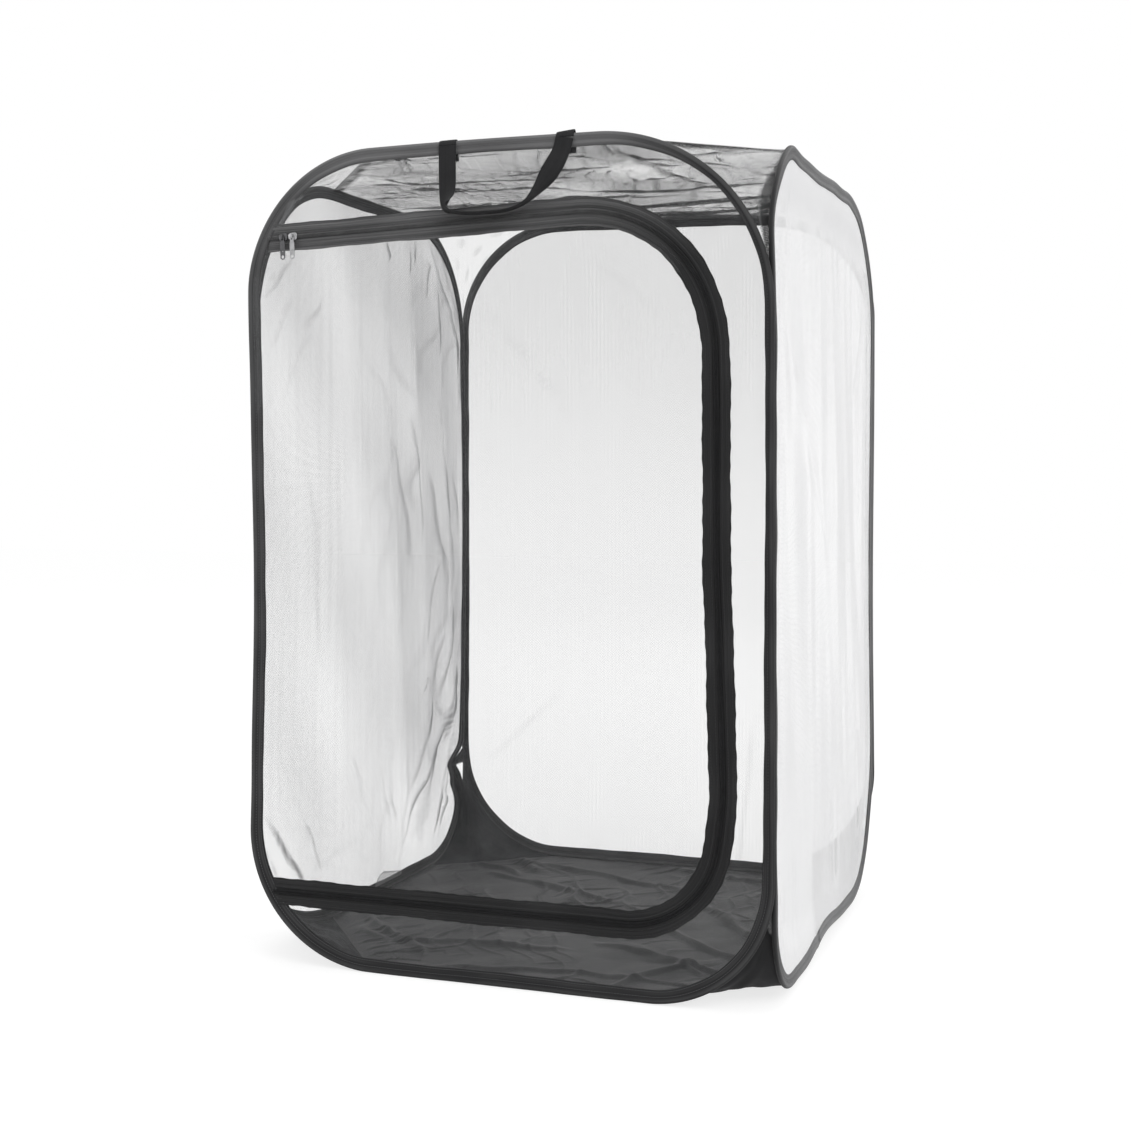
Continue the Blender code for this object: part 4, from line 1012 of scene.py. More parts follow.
# The right end of each row lies on the zip's inner line, found by height from its lowest point up
bend = zipLine(np.linspace(zipSteps[1], zipSteps[-2], 1200), np.full(1200, -netToZip), 0.0)[::-1]
bendZ = np.maximum.accumulate(bend[:, 2])
rowRight = np.full(doorRows, rightEdge)
for attempt in range(12):
    rowRight = np.interp(rowZ + (rowRight - zipShape["startX"]) * zipShape["slope"] * rowShare, bendZ,
                         bend[:, 0])
leftShares = np.array([hoopShare("front", "low", None, z) for z in rowZ])
rowLeft = hoopLine("front", leftShares, netTuck)[:, 0]
foldColumns = np.arange(-0.250, -0.212, 0.002)
leftPart = rowLeft[:, None] + (foldColumns[0] - rowLeft)[:, None] * np.linspace(0, 1, 9)[None, :-1]
rightPart = foldColumns[-1] + (rowRight - foldColumns[-1])[:, None] * np.linspace(0, 1, 72)[None, 1:]
doorX = np.concatenate([leftPart, np.broadcast_to(foldColumns, (doorRows, len(foldColumns))), rightPart],
                       axis=1)
doorZ = rowZ[:, None] + (doorX - zipShape["startX"]) * zipShape["slope"] * rowShare[:, None]
edgeFade = np.clip(np.minimum(rowShare, 1 - rowShare) * 12, 0, 1)[:, None]
edgeFade = edgeFade * np.clip((rightEdge - doorX) * 20, 0, 1)
doorFold, doorMask = creases(doorX, doorZ, (
    (-285, 790, -262, 750, 3, 1, 0.1), (100, 780, 200, 700, 6, 1.2, 0.06), (-230, 100, -150, 160, 6, 1, 0.05),
    (160, 120, 80, 190, 6, 1.2, 0.05)))
doorUneven = drift(doorX, doorZ, ((0.0006, 12, 7, 0.3), (0.0004, 31, -14, 2.0)))
doorY = -cage["depth"] / 2 - frontSway(doorX, doorZ) - edgeFade * (0.0012 + doorUneven
                                                    + doorFold)
doorPoints = np.stack([doorX, doorY, doorZ], axis=-1)
doorNet = makePiece("doorNetCloth",
                    [{"points": doorPoints, "uv": doorPoints[..., [0, 2]], "masks": {"fold": doorMask}}],
                    frontNetLook, ("frame", "door", *foldAt), ["door_net", "door_hinge_net"])
print("front nets ready")

# Top, floor and corner gussets
topSeam, floorSeam = 0.0040, 0.0015
faceLift = -0.0029


def cornerSpan(name, end, level, tipHeight):
    # Shares of a hoop at a gusset's tip on its side and at the end of the rounded corner on its
    # top or bottom run
    hoop = hoops[name]
    lowHigh, topHigh, topLow, lowLow = hoop["radii"]
    radius = {("high", "bottom"): lowHigh, ("high", "top"): topHigh, ("low", "top"): topLow,
              ("low", "bottom"): lowLow}[(end, level)]
    runEnd = (hoop["half"] - radius) * (1.0 if end == "high" else -1.0)
    return hoopShare(name, end, None, tipHeight), hoopShare(name, None, level, runEnd)


def shortWay(start, stop, count):
    # Shares from start to stop by the shorter way round
    run = (stop - start + 0.5) % 1.0 - 0.5
    return start + run * np.linspace(0.0, 1.0, count)


gussetTuck = 0.0055
gussetReach = {("bottom", "back", "left"): 1.0}


def gussetSpans(frontName, sideName, level):
    frontEnd = "low" if sideName == "left" else "high"
    sideEnd = "low" if frontName == "front" else "high"
    order = {("high", "bottom"): 0, ("high", "top"): 1, ("low", "top"): 2, ("low", "bottom"): 3}
    radius = max(hoops[frontName]["radii"][order[(frontEnd, level)]],
                 hoops[sideName]["radii"][order[(sideEnd, level)]])
    reach = gussetReach.get((level, frontName, sideName), 0.8) * radius
    top = min(hoops[frontName]["top"], hoops[sideName]["top"])
    tip = top - reach if level == "top" else reach
    return cornerSpan(frontName, frontEnd, level, tip), cornerSpan(sideName, sideEnd, level, tip)


spans = {(level, frontName, sideName): gussetSpans(frontName, sideName, level)
         for level in ("top", "bottom") for frontName in ("front", "back") for sideName in ("left", "right")}


def gusset(name, frontName, sideName, level, seam, material, node, split, strip, window=None):
    # Ruled between the two hoops' corners, sagging a little into the cage between them. split: where its pale
    # tip ends, as a share of its length. strip: (place across, half width, amount) of a gathered strip along it,
    # which narrows upward, more opaque and darkened with painted shade. window: (lowest and highest place,
    # middle and half width across) of a pale triangle
    (frontTip, frontStop), (sideTip, sideStop) = spans[(level, frontName, sideName)]
    rows, columns = 70, 34
    tuck = seam + gussetTuck * (1.0 - np.linspace(0.0, 1.0, rows))
    first = hoopLine(frontName, shortWay(frontTip, frontStop, rows), tuck, faceLift)
    second = hoopLine(sideName, shortWay(sideTip, sideStop, rows), tuck, faceLift)
    share = np.linspace(0.0, 1.0, columns)[None, :, None]
    points = first[:, None, :] + share * (second - first)[:, None, :]
    span = np.linalg.norm(second - first, axis=1)[:, None]
    inward = np.array([0.0, 0.0, cage["front"] / 2]) - points
    inward = inward / np.linalg.norm(inward, axis=2, keepdims=True)
    down = np.linspace(0.0, 1.0, rows)[:, None]
    acrossIt = np.linspace(0.0, 1.0, columns)[None, :]
    bell = np.sin(math.pi * acrossIt)
    wave = (np.sin(2 * math.pi * (3.2 * acrossIt + 1.5 * down))
            + 0.6 * np.sin(2 * math.pi * (1.3 * acrossIt - 4.1 * down)))
    depth = span * bell * (0.030 + 0.009 * wave) * np.minimum(1, 6 * (1 - down))
    points = points + inward * depth[..., None]
    points[..., 2] = np.maximum(points[..., 2], 0.0006)
    lengths = lengthsAlong((first + second) / 2)
    uv = np.stack(np.broadcast_arrays((acrossIt - 0.5) * span, lengths[:, None]), axis=-1)
    seamLine = 0.45 * np.exp(-((down - split) / 0.02) ** 2) + 0 * bell
    # The fold mask greys the deeper ripples of the sag, the seam and the strip: painted shade, on cloth that is
    # also more opaque there
    fold = 0.16 * smoothStep(0.7, 1.3, wave) * bell + seamLine
    stripHalf = strip[1] * (1.0 - 0.92 * smoothStep(0.25, 0.72, down))
    fold = fold + strip[2] * (1.0 - smoothStep(0.75, 1.25, np.abs(acrossIt - strip[0]) / stripHalf))
    beyond = smoothStep(split - 0.012, split + 0.012, down + 0.03 * np.sin(5 * acrossIt)) + 0 * bell
    if window:
        rise = (points[..., 2] - window[0]) / (window[1] - window[0])
        inside = smoothStep(1.1, 0.9, np.abs(acrossIt - window[2]) / np.maximum(window[3] * rise, 0.001))
        beyond = np.minimum(beyond, 1.0 - inside * smoothStep(1.05, 0.95, rise) * smoothStep(0.0, 0.1, rise))
        fold = fold * beyond
    item = makePiece(name,
                     [{"points": points, "uv": uv, "masks": {"fold": np.clip(fold, 0, 1), "beyond": beyond}}],
                     material, "frame", [node])
    return item


def splitNetMaterial(name, first, second, depth):
    # Pale net up to the seam, and dark net or close cloth beyond it
    material, tree, shader = startMaterial(name, 0.75, specular=0.2)
    vector = uvOf(tree)
    fold = maskOf(tree, "fold")
    beyond = maskOf(tree, "beyond")
    streak = noise(tree, stretched(tree, vector, (200.0, 12.0, 1.0)), 1.0, 2.0)
    pale = mixed(tree, streak, first["dark"], first["light"])
    patch = noise(tree, stretched(tree, objectOf(tree), (22.0, 22.0, 9.0)), 1.0, 3.0)
    patch = times(tree, minus(tree, patch, 0.35), 2.6, clamp=True)
    dark = mixed(tree, patch, second["dark"], second["light"])
    colour = mixed(tree, beyond, pale, dark)
    # Painted shade in the folds: near black on both the pale and the dark part
    foldShadeColour = mixed(tree, beyond, (0.03, 0.03, 0.031), (0.008, 0.008, 0.008))
    colour = mixed(tree, times(tree, fold, 0.95, clamp=True), colour, foldShadeColour)
    tree.links.new(colour, shader.inputs["Base Color"])
    opacity = plus(tree, first["opacity"], times(tree, beyond, second["opacity"] - first["opacity"]))
    threshold = plus(tree, first["threshold"],
                      times(tree, beyond, second["threshold"] - first["threshold"]))
    opacity = plus(tree, opacity, times(tree, fold, 0.3), clamp=True)
    threads = placeGroup(tree, netGroup, Vector=vector, Pitch=first["pitch"], Threshold=threshold,
                         Softness=first["softness"], Opacity=opacity, Fold=fold)
    tree.links.new(threads.outputs["Alpha"], shader.inputs["Alpha"])
    bumpOf(tree, shader, threads.outputs["Height"], depth, 0.5)
    return material


topGussetLook = splitNetMaterial("gussetNet", netLooks["front"], netLooks["dark"], 0.0002)
closeCloth = {"dark": (0.012, 0.012, 0.013), "light": (0.046, 0.046, 0.048), "opacity": 1.0, "threshold": 5.0}
floorGussetLook = splitNetMaterial("gussetCloth", netLooks["front"], closeCloth, 0.0001)
# Per corner: where the top gusset's and the floor gusset's pale tips end, their gathered strips, and the
# floor gusset's window
gussetCuts = {
    ("front", "left"): (0.62, (0.02, 0.04, 0.35), 0.52, (0.97, 0.05, 0.20), None),
    ("front", "right"): (0.85, (1.00, 0.34, 1.00), 0.14, (0.50, 0.30, 0.20), None),
    ("back", "left"): (0.90, (0.02, 0.04, 0.20), 0.0, (0.75, 0.10, 0.20), (0.1050, 0.1300, 0.54, 0.26)),
    ("back", "right"): (0.90, (0.98, 0.04, 0.20), 0.30, (0.50, 0.20, 0.15), None)}
for (frontName, sideName), (topSplit, topStrip, floorSplit, floorStrip, floorWindow) in gussetCuts.items():
    corner = frontName + "_" + sideName
    label = frontName + sideName.capitalize()
    gusset(label + "TopGusset", frontName, sideName, "top", topSeam, topGussetLook,
           "top_gusset_" + corner, topSplit, topStrip)
    gusset(label + "FloorGusset", frontName, sideName, "bottom", floorSeam, floorGussetLook,
           "floor_gusset_" + corner, floorSplit, floorStrip, floorWindow)


def levelLoop(level, seam):
    # The top's or floor's edge: the straight run of each hoop and the last ruling of each gusset
    stops = {key[1:]: (value[0][1], value[1][1]) for key, value in spans.items() if key[0] == level}
    runs = [("front", stops[("front", "left")][0], stops[("front", "right")][0]),
            ("right", stops[("front", "right")][1], stops[("back", "right")][1]),
            ("back", stops[("back", "right")][0], stops[("back", "left")][0]),
            ("left", stops[("back", "left")][1], stops[("front", "left")][1])]
    line = []
    for name, start, stop in runs:
        line.append(hoopLine(name, shortWay(start, stop, 80), seam, faceLift))
    dense = []
    corners = []
    for place, run in enumerate(line):
        dense.append(run)
        follow = line[(place + 1) % 4]
        share = np.linspace(0.0, 1.0, 26)[1:-1, None]
        dense.append(run[-1] + share * (follow[0] - run[-1]))
    loop = np.concatenate(dense)
    closed, shares = ringOf(loop)
    for place in range(4):
        corners.append(shares[place * 104 + 80 + 12])
    return loop, (corners[3] - 1.0, corners[0], corners[1], corners[2])


topLoop, topCorners = levelLoop("top", topSeam)
topPoints, topSize = fillLoop(topLoop, 216, 216, topCorners)
topX, topY = topPoints[..., 0], topPoints[..., 1]
topFade = 1.0 - smoothStep(0.90, 0.995, topSize)
slackDepth = -0.012 * (1 - topSize ** 2)
ridges = 0.003 * np.minimum(1, 2 * (1 - topSize ** 2)) * np.cos(2 * math.pi * (topY / 0.120 + topX / 0.600))
ripple = drift(topX, topY, ((0.0014, 11, 70, 0.4), (0.0011, -17, 110, 1.2), (0.0008, 29, 160, 2.1),
                            (0.0006, -35, 240, 0.2)))
# Folds of the top net, from start to end as (x, y)
topFolds = (
    (-134, -289, -166, -170, 4, 4, 0.8), (-123, -297, -154, -179, 4, 4, 0.8),
    (103, -262, 170, -13, 10, 6, 0.85), (85, -285, 150, -120, 6, 5, 0.6), (-220, 50, 240, 120, 6, 4, 0.3),
    (-100, -100, 260, 30, 7, 5, 0.5), (-240, -50, 100, -120, 6, 4, 0.16), (20, -240, 270, -120, 5, 5, 0.35),
    (-50, 180, 260, 200, 7, 4, 0.45), (-260, 160, 20, 200, 7, 4, 0.5), (-240, 220, 100, 260, 6, 3, 0.5),
    (-250, -140, -80, -20, 12, 6, 0.16), (-230, -200, -120, -60, 6, 4, 0.35), (-80, -20, 200, 100, 6, 4, 0.55),
    (180, 240, 270, -40, 7, 5, 0.6), (150, 270, 230, 60, 6, 4, 0.5), (230, -140, 285, 80, 6, 5, 0.6),
    (-100, -280, 60, -250, 5, 3, 0.4))
topLines, topMask = creases(topX, topY, topFolds, 0.6)
topLines = 0.6 * topLines * topFade
finer = wrinkles(topX, topY, ((9, 62, 0.3, 0.20, 0.9), (-21, 84, 1.9, 0.17, 0.6), (52, 55, 3.1, 0.20, 0.8),
                              (118, 30, 4.4, 0.20, 0.8), (-146, 26, 5.2, 0.18, 0.8), (96, -12, 0.9, 0.16, 0.7)))
lightPatch = np.exp(-((topX - 0.122) / 0.060) ** 2 - ((topY + 0.180) / 0.060) ** 2)
calm = 1.0 - 0.8 * lightPatch
topPoints = topPoints.copy()
topPoints[..., 2] += slackDepth + (ridges + ripple) * topFade + topLines + 0.0020 * finer * calm * topFade
hem = 0.45 * smoothStep(0.955, 0.975, topSize - 0.020 * smoothStep(0.20, 0.27, topX))
topMask = np.clip(np.maximum(0.32 * topMask, 0.17 * finer * calm) + hem, 0, 1)
topDense = 0.12 * drift(topX, topY,
                        ((0.5, 17, 31, 0.6), (0.5, -23, 47, 1.9), (0.4, 41, -29, 2.7))) - 0.12 * lightPatch
topDense = topDense - 0.08 * smoothStep(0.10, 0.24, topX)
topNet = makePiece("topNetCloth", [{"points": topPoints, "uv": topPoints[..., :2],
                                    "masks": {"fold": topMask, "dense": topDense}}],
                   darkNetLook, "frame", ["top_net"])
faceAndBack(topNet, 0.0007)

floorLoop, floorCorners = levelLoop("bottom", floorSeam)
floorPoints, floorSize = fillLoop(floorLoop, 260, 260, floorCorners)
floorX, floorY = floorPoints[..., 0], floorPoints[..., 1]
floorFade = 1.0 - smoothStep(0.93, 0.995, floorSize)
floorLines, _ = creases(floorX, floorY, (
    (260, -160, 50, 20, 7, 5, 0), (270, -200, 20, -100, 6, 4.5, 0), (270, -100, 100, 120, 7, 5, 0),
    (260, 0, 160, 200, 7, 4.5, 0), (-200, 240, 100, 160, 8, 5, 0), (-220, 180, 40, 60, 7, 4, 0),
    (-250, 20, 0, -20, 8, 4, 0), (-200, -180, 50, -140, 8, 4, 0), (-100, -260, 140, -220, 7, 4, 0),
    (20, 260, 220, 220, 7, 4.5, 0), (-280, -80, -100, -240, 7, 4, 0), (100, -280, 200, -120, 6, 4, 0),
    (-220, 270, -130, 190, 9, 6, 0), (-250, 220, -150, 170, 7, 5, 0)), 0.5)
finer = wrinkles(floorX, floorY, ((34, 41, 0.7, 0.24, 1.0), (62, -25, 2.2, 0.20, 0.8),
                                  (-48, 57, 3.6, 0.18, 0.7), (92, 46, 5.0, 0.20, 0.5)))
floorWave = drift(floorX, floorY, ((0.0012, 33, 21, 0.1), (0.0009, -47, 60, 1.0), (0.0006, 90, 55, 2.0)))
floorPoints = floorPoints.copy()
# The cloth lies on the ground and only its hem climbs to the hoops
climb = floorPoints[..., 2] * smoothStep(0.80, 1.0, floorSize) / np.maximum(floorSize, 0.5)
floorPoints[..., 2] = np.maximum(0.0007, climb + (0.0016 + floorWave + floorLines + 0.0030 * finer) * floorFade)
floorCloth = makePiece("floorCloth", [{"points": floorPoints, "uv": floorPoints[..., :2]}], floorLook, "frame",
                       ["floor_panel"])
print("top, floor and gussets ready")

# Sliders and pulls
sliderShape = {"length": 0.0110, "nose": 0.0092, "tail": 0.0070, "left": -0.2574, "right": -0.2454,
               "frontPlate": (-0.0039, -0.0053), "backPlate": (0.0012, -0.0002)}
archShape = {"foot": -0.0050, "rise": 0.0029, "half": 0.0026, "halfThick": 0.00036, "halfWide": 0.00085}
neckShape = {"half": 0.0014, "at": 0.0030, "halfThick": 0.00038, "levels": (0.0000, -0.0015, -0.0030, -0.0045)}
pullShape = {"length": 0.0255, "tip": 0.0030, "halfThick": 0.00030, "eased": 0.00018, "level": -0.0063,
             "holeAt": -0.0159, "hole": 0.0008, "endHole": 0.0019}


def turned(points, placeX, forward=0.0):
    # From a slider's own axes (x along the zip, y out of the panel, z across) into the cage
    cos, sin = math.cos(slopeAngle), math.sin(slopeAngle)
    z = zipShape["park"] + (placeX - zipShape["startX"]) * zipShape["slope"]
    x = placeX + points[..., 0] * cos - points[..., 2] * sin
    up = z + points[..., 0] * sin + points[..., 2] * cos
    return np.stack([x, -cage["depth"] / 2 - forward + points[..., 1], up], axis=-1)


def sliderPlateGrid(nearY, farY, placeX):
    # Stacked rounded outlines: a superellipse that narrows to the tail, drawn in at both faces
    s = sliderShape
    angle = roundTurn(40)
    along, across = squared(np.cos(angle), 0.6), squared(np.sin(angle), 0.6)
    width = (s["tail"] + (s["nose"] - s["tail"]) * (along + 1) / 2) / 2
    layers = [(0.0, 0.05), (0.0, 0.88), (0.12, 0.97), (0.5, 1.0), (0.88, 0.97), (1.0, 0.86), (1.0, 0.05)]
    rings = [np.stack([along * s["length"] / 2 * size, np.full_like(angle, nearY + (farY - nearY) * depth),
                       across * width * size], axis=1) for depth, size in layers]
    return {"points": turned(np.stack(rings), placeX), "closedColumns": True, "caps": True}


def archGrid(placeX):
    # A flat bar bent over the plate in half an oval
    angle = np.linspace(0.0, math.pi, 25)
    a = archShape
    path = np.stack([np.zeros(25), a["foot"] - a["rise"] * np.sin(angle) ** 0.7,
                     -a["half"] * np.cos(angle)], axis=1)
    tangent = np.gradient(path, axis=0)
    tangent = unit(tangent)
    side = np.tile([1.0, 0.0, 0.0], (25, 1))
    radial = np.cross(tangent, side)
    turn = roundTurn(10)
    profile = np.stack([a["halfThick"] * squared(np.cos(turn), 0.5),
                        a["halfWide"] * squared(np.sin(turn), 0.5)], axis=1)
    grid = sweep(path, radial, side, profile)
    grid["points"] = turned(grid["points"], placeX)
    return grid


def neckGrid(placeX):
    angle = roundTurn(12)
    n = neckShape
    rings = [np.stack([n["half"] * np.cos(angle) + n["at"], np.full(12, y),
                       n["halfThick"] * np.sin(angle)], axis=1) for y in n["levels"]]
    return {"points": turned(np.stack(rings), placeX), "closedColumns": True, "caps": True}


def makePull(name, placeX, body, node, material):
    # A flat tab with a window for the arch, a small hole and a round end hole, its edges eased
    def circle(centre, radius, steps=28):
        angle = roundTurn(steps)
        return np.stack([radius * np.cos(angle), centre + radius * np.sin(angle)], axis=1)
    p = pullShape
    end = p["tip"] - p["length"]
    low = np.linspace(math.pi, 2 * math.pi, 24)
    flank = np.array([[-0.0022, 0.0004], [-0.0022, -0.0048], [-0.0024, -0.0060], [-0.0029, -0.0078]])
    tip = np.stack([p["tip"] * np.cos(low), end + p["tip"] * np.sin(low)], axis=1)
    outline = np.concatenate([flank, tip, flank[::-1] * (-1, 1)])
    window = np.array([[-0.0011, -0.0004], [0.0011, -0.0004], [0.0011, -0.0040], [-0.0011, -0.0040]])
    data = bpy.data.curves.new(name, "CURVE")
    data.dimensions = "2D"
    data.fill_mode = "BOTH"
    data.extrude = p["halfThick"]
    data.bevel_depth = p["eased"]
    data.bevel_resolution = 2
    data.offset = -p["eased"]
    for loop in (outline, window, circle(p["holeAt"], p["hole"]), circle(end, p["endHole"])):
        spline = data.splines.new("POLY")
        spline.use_cyclic_u = True
        spline.points.add(len(loop) - 1)
        flatPoints = np.concatenate([loop, np.zeros((len(loop), 1)), np.ones((len(loop), 1))], axis=1)
        spline.points.foreach_set("co", flatPoints.ravel())
    curve = bpy.data.objects.new(name + "Curve", data)
    scene.collection.objects.link(curve)
    mesh = bpy.data.meshes.new_from_object(curve.evaluated_get(bpy.context.evaluated_depsgraph_get()))
    bpy.data.objects.remove(curve, do_unlink=True)
    flat = np.empty(len(mesh.vertices) * 3)
    mesh.vertices.foreach_get("co", flat)
    flat = flat.reshape(-1, 3)
    place = turned(np.stack([flat[:, 0], -flat[:, 2] + p["level"], flat[:, 1]], axis=1), placeX)
    mesh.vertices.foreach_set("co", place.ravel())
    mesh.name = name
    mesh.materials.clear()
    mesh.materials.append(material)
    work = bmesh.new()
    work.from_mesh(mesh)
    bmesh.ops.remove_doubles(work, verts=work.verts, dist=0.00001)
    bmesh.ops.recalc_face_normals(work, faces=work.faces)
    work.to_mesh(mesh)
    work.free()
    item = bpy.data.objects.new(name, mesh)
    scene.collection.objects.link(item)
    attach(item, body)
    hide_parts(node)
    return item


# The left slider and pull take the darker nickel: painted shade
for side, placeX, look in (("left", sliderShape["left"], shadedNickelLook),
                           ("right", sliderShape["right"], nickelLook)):
    makePiece(side + "SliderBody",
              [sliderPlateGrid(*sliderShape["frontPlate"], placeX),
               sliderPlateGrid(*sliderShape["backPlate"], placeX), archGrid(placeX), neckGrid(placeX)],
              look, "slider_" + side, ["slider_" + side], solid=True)
    makePull(side + "PullTab", placeX, "pull_" + side, "pull_" + side, look)
print("sliders ready")

# Carry handle
handleShape = {"span": 0.135, "offset": 0.0105, "drop": 0.074, "half": 0.010, "thickness": 0.0012,
               "top": 0.9029287, "proud": 0.0003, "cup": 0.0006}
wrapShape = {"radius": 0.0036713, "half": 0.010, "leg": 0.0165, "slack": 0.0018, "halfThick": 0.0006}
# Shares of the span and of the drop along the strap, and how far it is turned, as a share of half a turn
handleRoute = np.array([
    (0.000, 0.00, 0.00), (0.000, 0.14, 0.00), (0.001, 0.34, 0.00), (0.003, 0.54, 0.01), (0.007, 0.71, 0.07),
    (0.013, 0.85, 0.22), (0.036, 0.95, 0.36), (0.135, 1.01, 0.38), (0.330, 1.03, 0.38), (0.540, 1.01, 0.38),
    (0.690, 0.92, 0.42), (0.790, 0.76, 0.56), (0.866, 0.57, 0.74), (0.930, 0.37, 0.89), (0.972, 0.19, 0.99),
    (1.000, 0.00, 1.00)])


def smoothRoute(table, count):
    # Cubic through each run of four points of the table
    padded = np.concatenate([[2 * table[0] - table[1]], table, [2 * table[-1] - table[-2]]])
    places = np.linspace(0.0, len(table) - 1, count)
    index = np.minimum(places.astype(int), len(table) - 2)
    local = (places - index)[:, None]
    first, second, third, fourth = (padded[index + step] for step in range(4))
    bend = 2 * first - 5 * second + 4 * third - fourth
    twist = 3 * second - first - 3 * third + fourth
    return second + 0.5 * local * (third - first + local * (bend + local * twist))


h = handleShape
route = smoothRoute(handleRoute, 180)
turn = np.clip(route[:, 2], 0.0, 1.0) * math.pi
handleLeft = h["offset"] - h["span"] / 2
handleCentre = np.stack([handleLeft + route[:, 0] * h["span"],
                         -cage["depth"] / 2 - wrapShape["radius"] - h["half"] * np.sin(turn)
                         - h["proud"] * np.sin(turn),
                         h["top"] - np.maximum(route[:, 1], 0.0) * h["drop"]], axis=1)
tangent = np.gradient(handleCentre, axis=0)
tangent[0] = (0, 0, -1)
tangent = unit(tangent)
wide = np.stack([np.cos(turn), -np.sin(turn), np.zeros_like(turn)], axis=1)
wide -= np.sum(wide * tangent, axis=1, keepdims=True) * tangent
wide = unit(wide)
face = np.cross(tangent, wide)
shares = np.linspace(-1.0, 1.0, 15)
rounding = h["thickness"] / 2 * np.sqrt(1.0 - 0.8 * np.abs(shares) ** 8)
cup = h["cup"] * (shares ** 2 - 0.4)
middle = handleCentre[:, None, :] + h["half"] * shares[None, :, None] * wide[:, None, :]
handleFront = middle + (cup + rounding)[None, :, None] * face[:, None, :]
handleBack = middle + (cup - rounding)[None, :, None] * face[:, None, :]
uv = uvGrid(lengthsAlong(handleCentre), h["half"] * (shares + 1))
makePiece("handleStrap", [slab(handleFront, handleBack, uv)], webbingLook, "handle",
          ["carry_handle"], solid=True)

for name, placeX, node, lift in (("handleWrapLeft", handleLeft, "handle_anchor_left", 0.10),
                                 ("handleWrapRight", handleLeft + h["span"], "handle_anchor_right", 0.55)):
    # Up the front of the sleeve, a slack half oval over it that stands higher at its right,
    # and a leg down its back
    w = wrapShape
    over = np.linspace(0.0, math.pi, 26)
    middleZ = hoops["front"]["top"] - sleeveRadius
    down = np.linspace(0.0, 1.0, 9)[1:]
    acrossWrap = np.linspace(-1.0, 1.0, 13)
    stand = w["radius"] + w["slack"] * (1.0 + lift * (acrossWrap + 1.0))
    pathY = np.concatenate([-w["radius"] * np.cos(over),
                            w["radius"] - 0.0008 * np.sin(math.pi * down) + 0.0016 * down])
    pathZ = np.concatenate([np.sin(over)[:, None] * stand[None, :],
                            np.broadcast_to(-w["leg"] * down[:, None], (8, 13))])
    outY = np.concatenate([-np.cos(over), np.ones(8)])
    outZ = np.concatenate([np.sin(over), np.zeros(8)])
    rounding = w["halfThick"] * np.sqrt(1.0 - 0.8 * np.abs(acrossWrap) ** 8)

    def wrapFace(sign):
        y = pathY[:, None] + sign * rounding[None, :] * outY[:, None]
        z = pathZ + sign * rounding[None, :] * outZ[:, None]
        x = np.broadcast_to(placeX + w["half"] * acrossWrap[None, :], y.shape)
        return np.stack([x, -cage["depth"] / 2 + y, middleZ + z], axis=-1)
    length = np.concatenate([[0.0], np.cumsum(np.hypot(np.diff(pathY), np.diff(pathZ[:, 6])))])
    uv = uvGrid(length, w["half"] * (acrossWrap + 1))
    makePiece(name, [slab(wrapFace(1.0), wrapFace(-1.0), uv)], webbingLook, "frame", [node],
              solid=True)
print("handle ready")

# Blank label in the left bottom seam
labelRows, labelColumns = 40, 24
labelShape = {"length": 0.080, "width": 0.026, "slant": 0.72, "seam": 0.0110, "start": 0.004}
up, run = np.meshgrid(np.linspace(0, 1, labelColumns), np.linspace(0, 1, labelRows))
lean = math.radians(16) + 0.25 * up ** 2
# Its free edge is cut at a slant, lower towards the back
labelRise = labelShape["width"] * up * (1.0 - labelShape["slant"] * run)
labelX = -innerFace + labelRise * np.sin(lean) + 0.0006 * np.sin(7 * run) * up
labelZ = labelShape["seam"] + labelRise * np.cos(lean)
labelY = labelShape["start"] + labelShape["length"] * run - 0.004 * up * run
labelPoints = np.stack([labelX, labelY, labelZ], axis=-1)
labelHem = np.maximum(smoothStep(0.78, 0.84, up), 0.6 * (1 - smoothStep(0.03, 0.06, run)))
labelUv = np.stack([labelShape["length"] * run, labelRise], axis=-1)
label = makePiece("careLabel", [{"points": labelPoints, "uv": labelUv,
                                 "masks": {"fold": 0.5 * labelHem, "dense": 0 * labelHem}}],
                  labelLook, "frame", ["care_label"])
print("label ready")

# Plain floor and backdrop: white to the camera, with the object's soft shadow
stageShape = {"size": 9.0, "level": -0.0004, "glow": 0.76, "reflect": 0.36, "ambient": 0.65}


def seenDirectly(tree):
    # One for rays from the camera and for those by way of a mirror or glass
    rays = tree.nodes.new("ShaderNodeLightPath").outputs
    bent = plus(tree, rays["Is Glossy Ray"], rays["Is Transmission Ray"])
    return plus(tree, rays["Is Camera Ray"], bent, clamp=True)


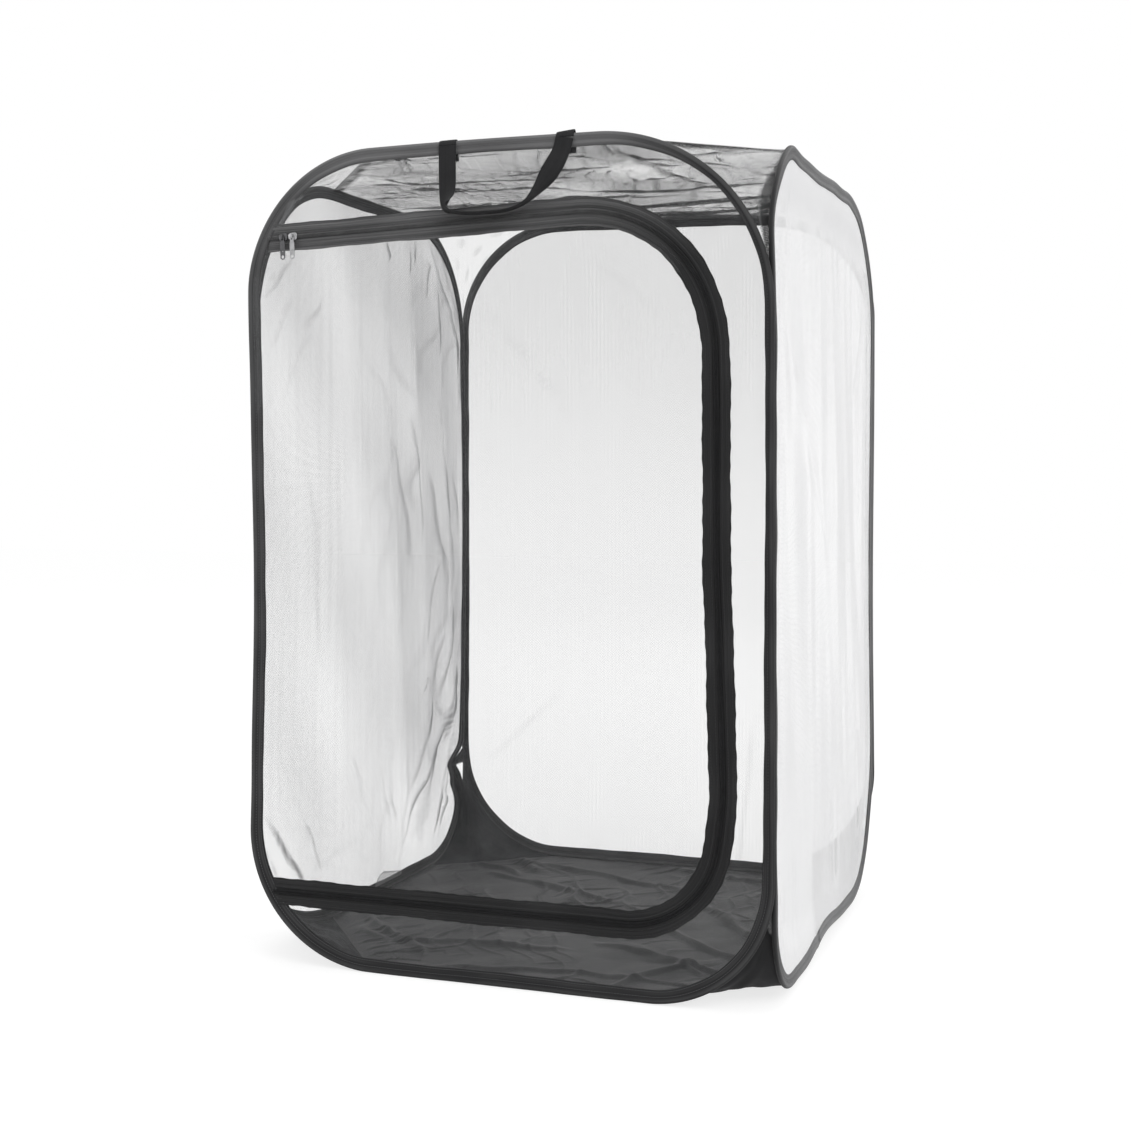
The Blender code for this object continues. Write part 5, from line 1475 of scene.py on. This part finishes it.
stageMesh = bpy.data.meshes.new("studioFloor")
half = stageShape["size"]
stageCorners = [(x * half, y * half, stageShape["level"]) for x, y in ((-1, -1), (1, -1), (1, 1), (-1, 1))]
stageMesh.from_pydata(stageCorners, [], [(0, 1, 2, 3)])
stageFloor = bpy.data.objects.new("studioFloor", stageMesh)
scene.collection.objects.link(stageFloor)
stageLook = bpy.data.materials.new("studioFloor")
stageLook.use_nodes = True
tree = stageLook.node_tree
shader = tree.nodes["Principled BSDF"]
shader.inputs["Base Color"].default_value = (stageShape["reflect"],) * 3 + (1.0,)
shader.inputs["Roughness"].default_value = 1.0
shader.inputs["Specular IOR Level"].default_value = 0.0
seen = seenDirectly(tree)
shader.inputs["Emission Color"].default_value = (1.0, 1.0, 1.0, 1.0)
tree.links.new(times(tree, seen, stageShape["glow"]), shader.inputs["Emission Strength"])
stageMesh.materials.append(stageLook)

world = bpy.data.worlds.new("studio")
scene.world = world
world.use_nodes = True
tree = world.node_tree
background = tree.nodes["Background"]
background.inputs["Color"].default_value = (1.0, 1.0, 1.0, 1.0)
seen = seenDirectly(tree)
ambient = stageShape["ambient"]
tree.links.new(plus(tree, ambient, times(tree, seen, 1.0 - ambient)), background.inputs["Strength"])

for name, place, aim, size, power in (("keyLight", (2.6, -1.9, 2.6), (0.0, 0.0, 0.45), 2.2, 42.0),
                                      ("fillLight", (-2.8, -1.6, 1.8), (0.0, 0.0, 0.45), 2.0, 14.0),
                                      ("sideLight", (4.6, 0.6, 0.9), (0.0, 0.0, 0.30), 2.6, 82.0),
                                      ("backLight", (0.6, 2.8, 2.6), (0.0, 0.0, 0.5), 2.0, 16.0)):
    data = bpy.data.lights.new(name, "AREA")
    data.shape = "SQUARE"
    data.size = size
    data.energy = power
    lamp = bpy.data.objects.new(name, data)
    lamp.location = place
    direction = np.array(aim) - np.array(place)
    lamp.rotation_euler = Vector(direction).to_track_quat("-Z", "Y").to_euler()
    scene.collection.objects.link(lamp)

# The camera fitted to the photo: its focal length, shift and width in pixels, and the sensor's width
cameraFit = {"focal": 1666.2, "shift": -85.617, "wide": 1131.0, "sensor": 36.0, "turn": 0.3485}
cameraData = bpy.data.cameras.new("photoCamera")
camera = bpy.data.objects.new("photoCamera", cameraData)
camera.location = (0.6771, -1.9505, 0.5420)
camera.rotation_euler = (math.pi / 2, 0.0, cameraFit["turn"])
cameraData.sensor_width = cameraFit["sensor"]
cameraData.lens = cameraFit["focal"] / cameraFit["wide"] * cameraFit["sensor"]
cameraData.shift_y = cameraFit["shift"] / cameraFit["wide"]
cameraData.clip_start = 0.05
cameraData.clip_end = 60.0
scene.collection.objects.link(camera)
scene.camera = camera
scene.view_settings.view_transform = "Standard"
print("stage ready")
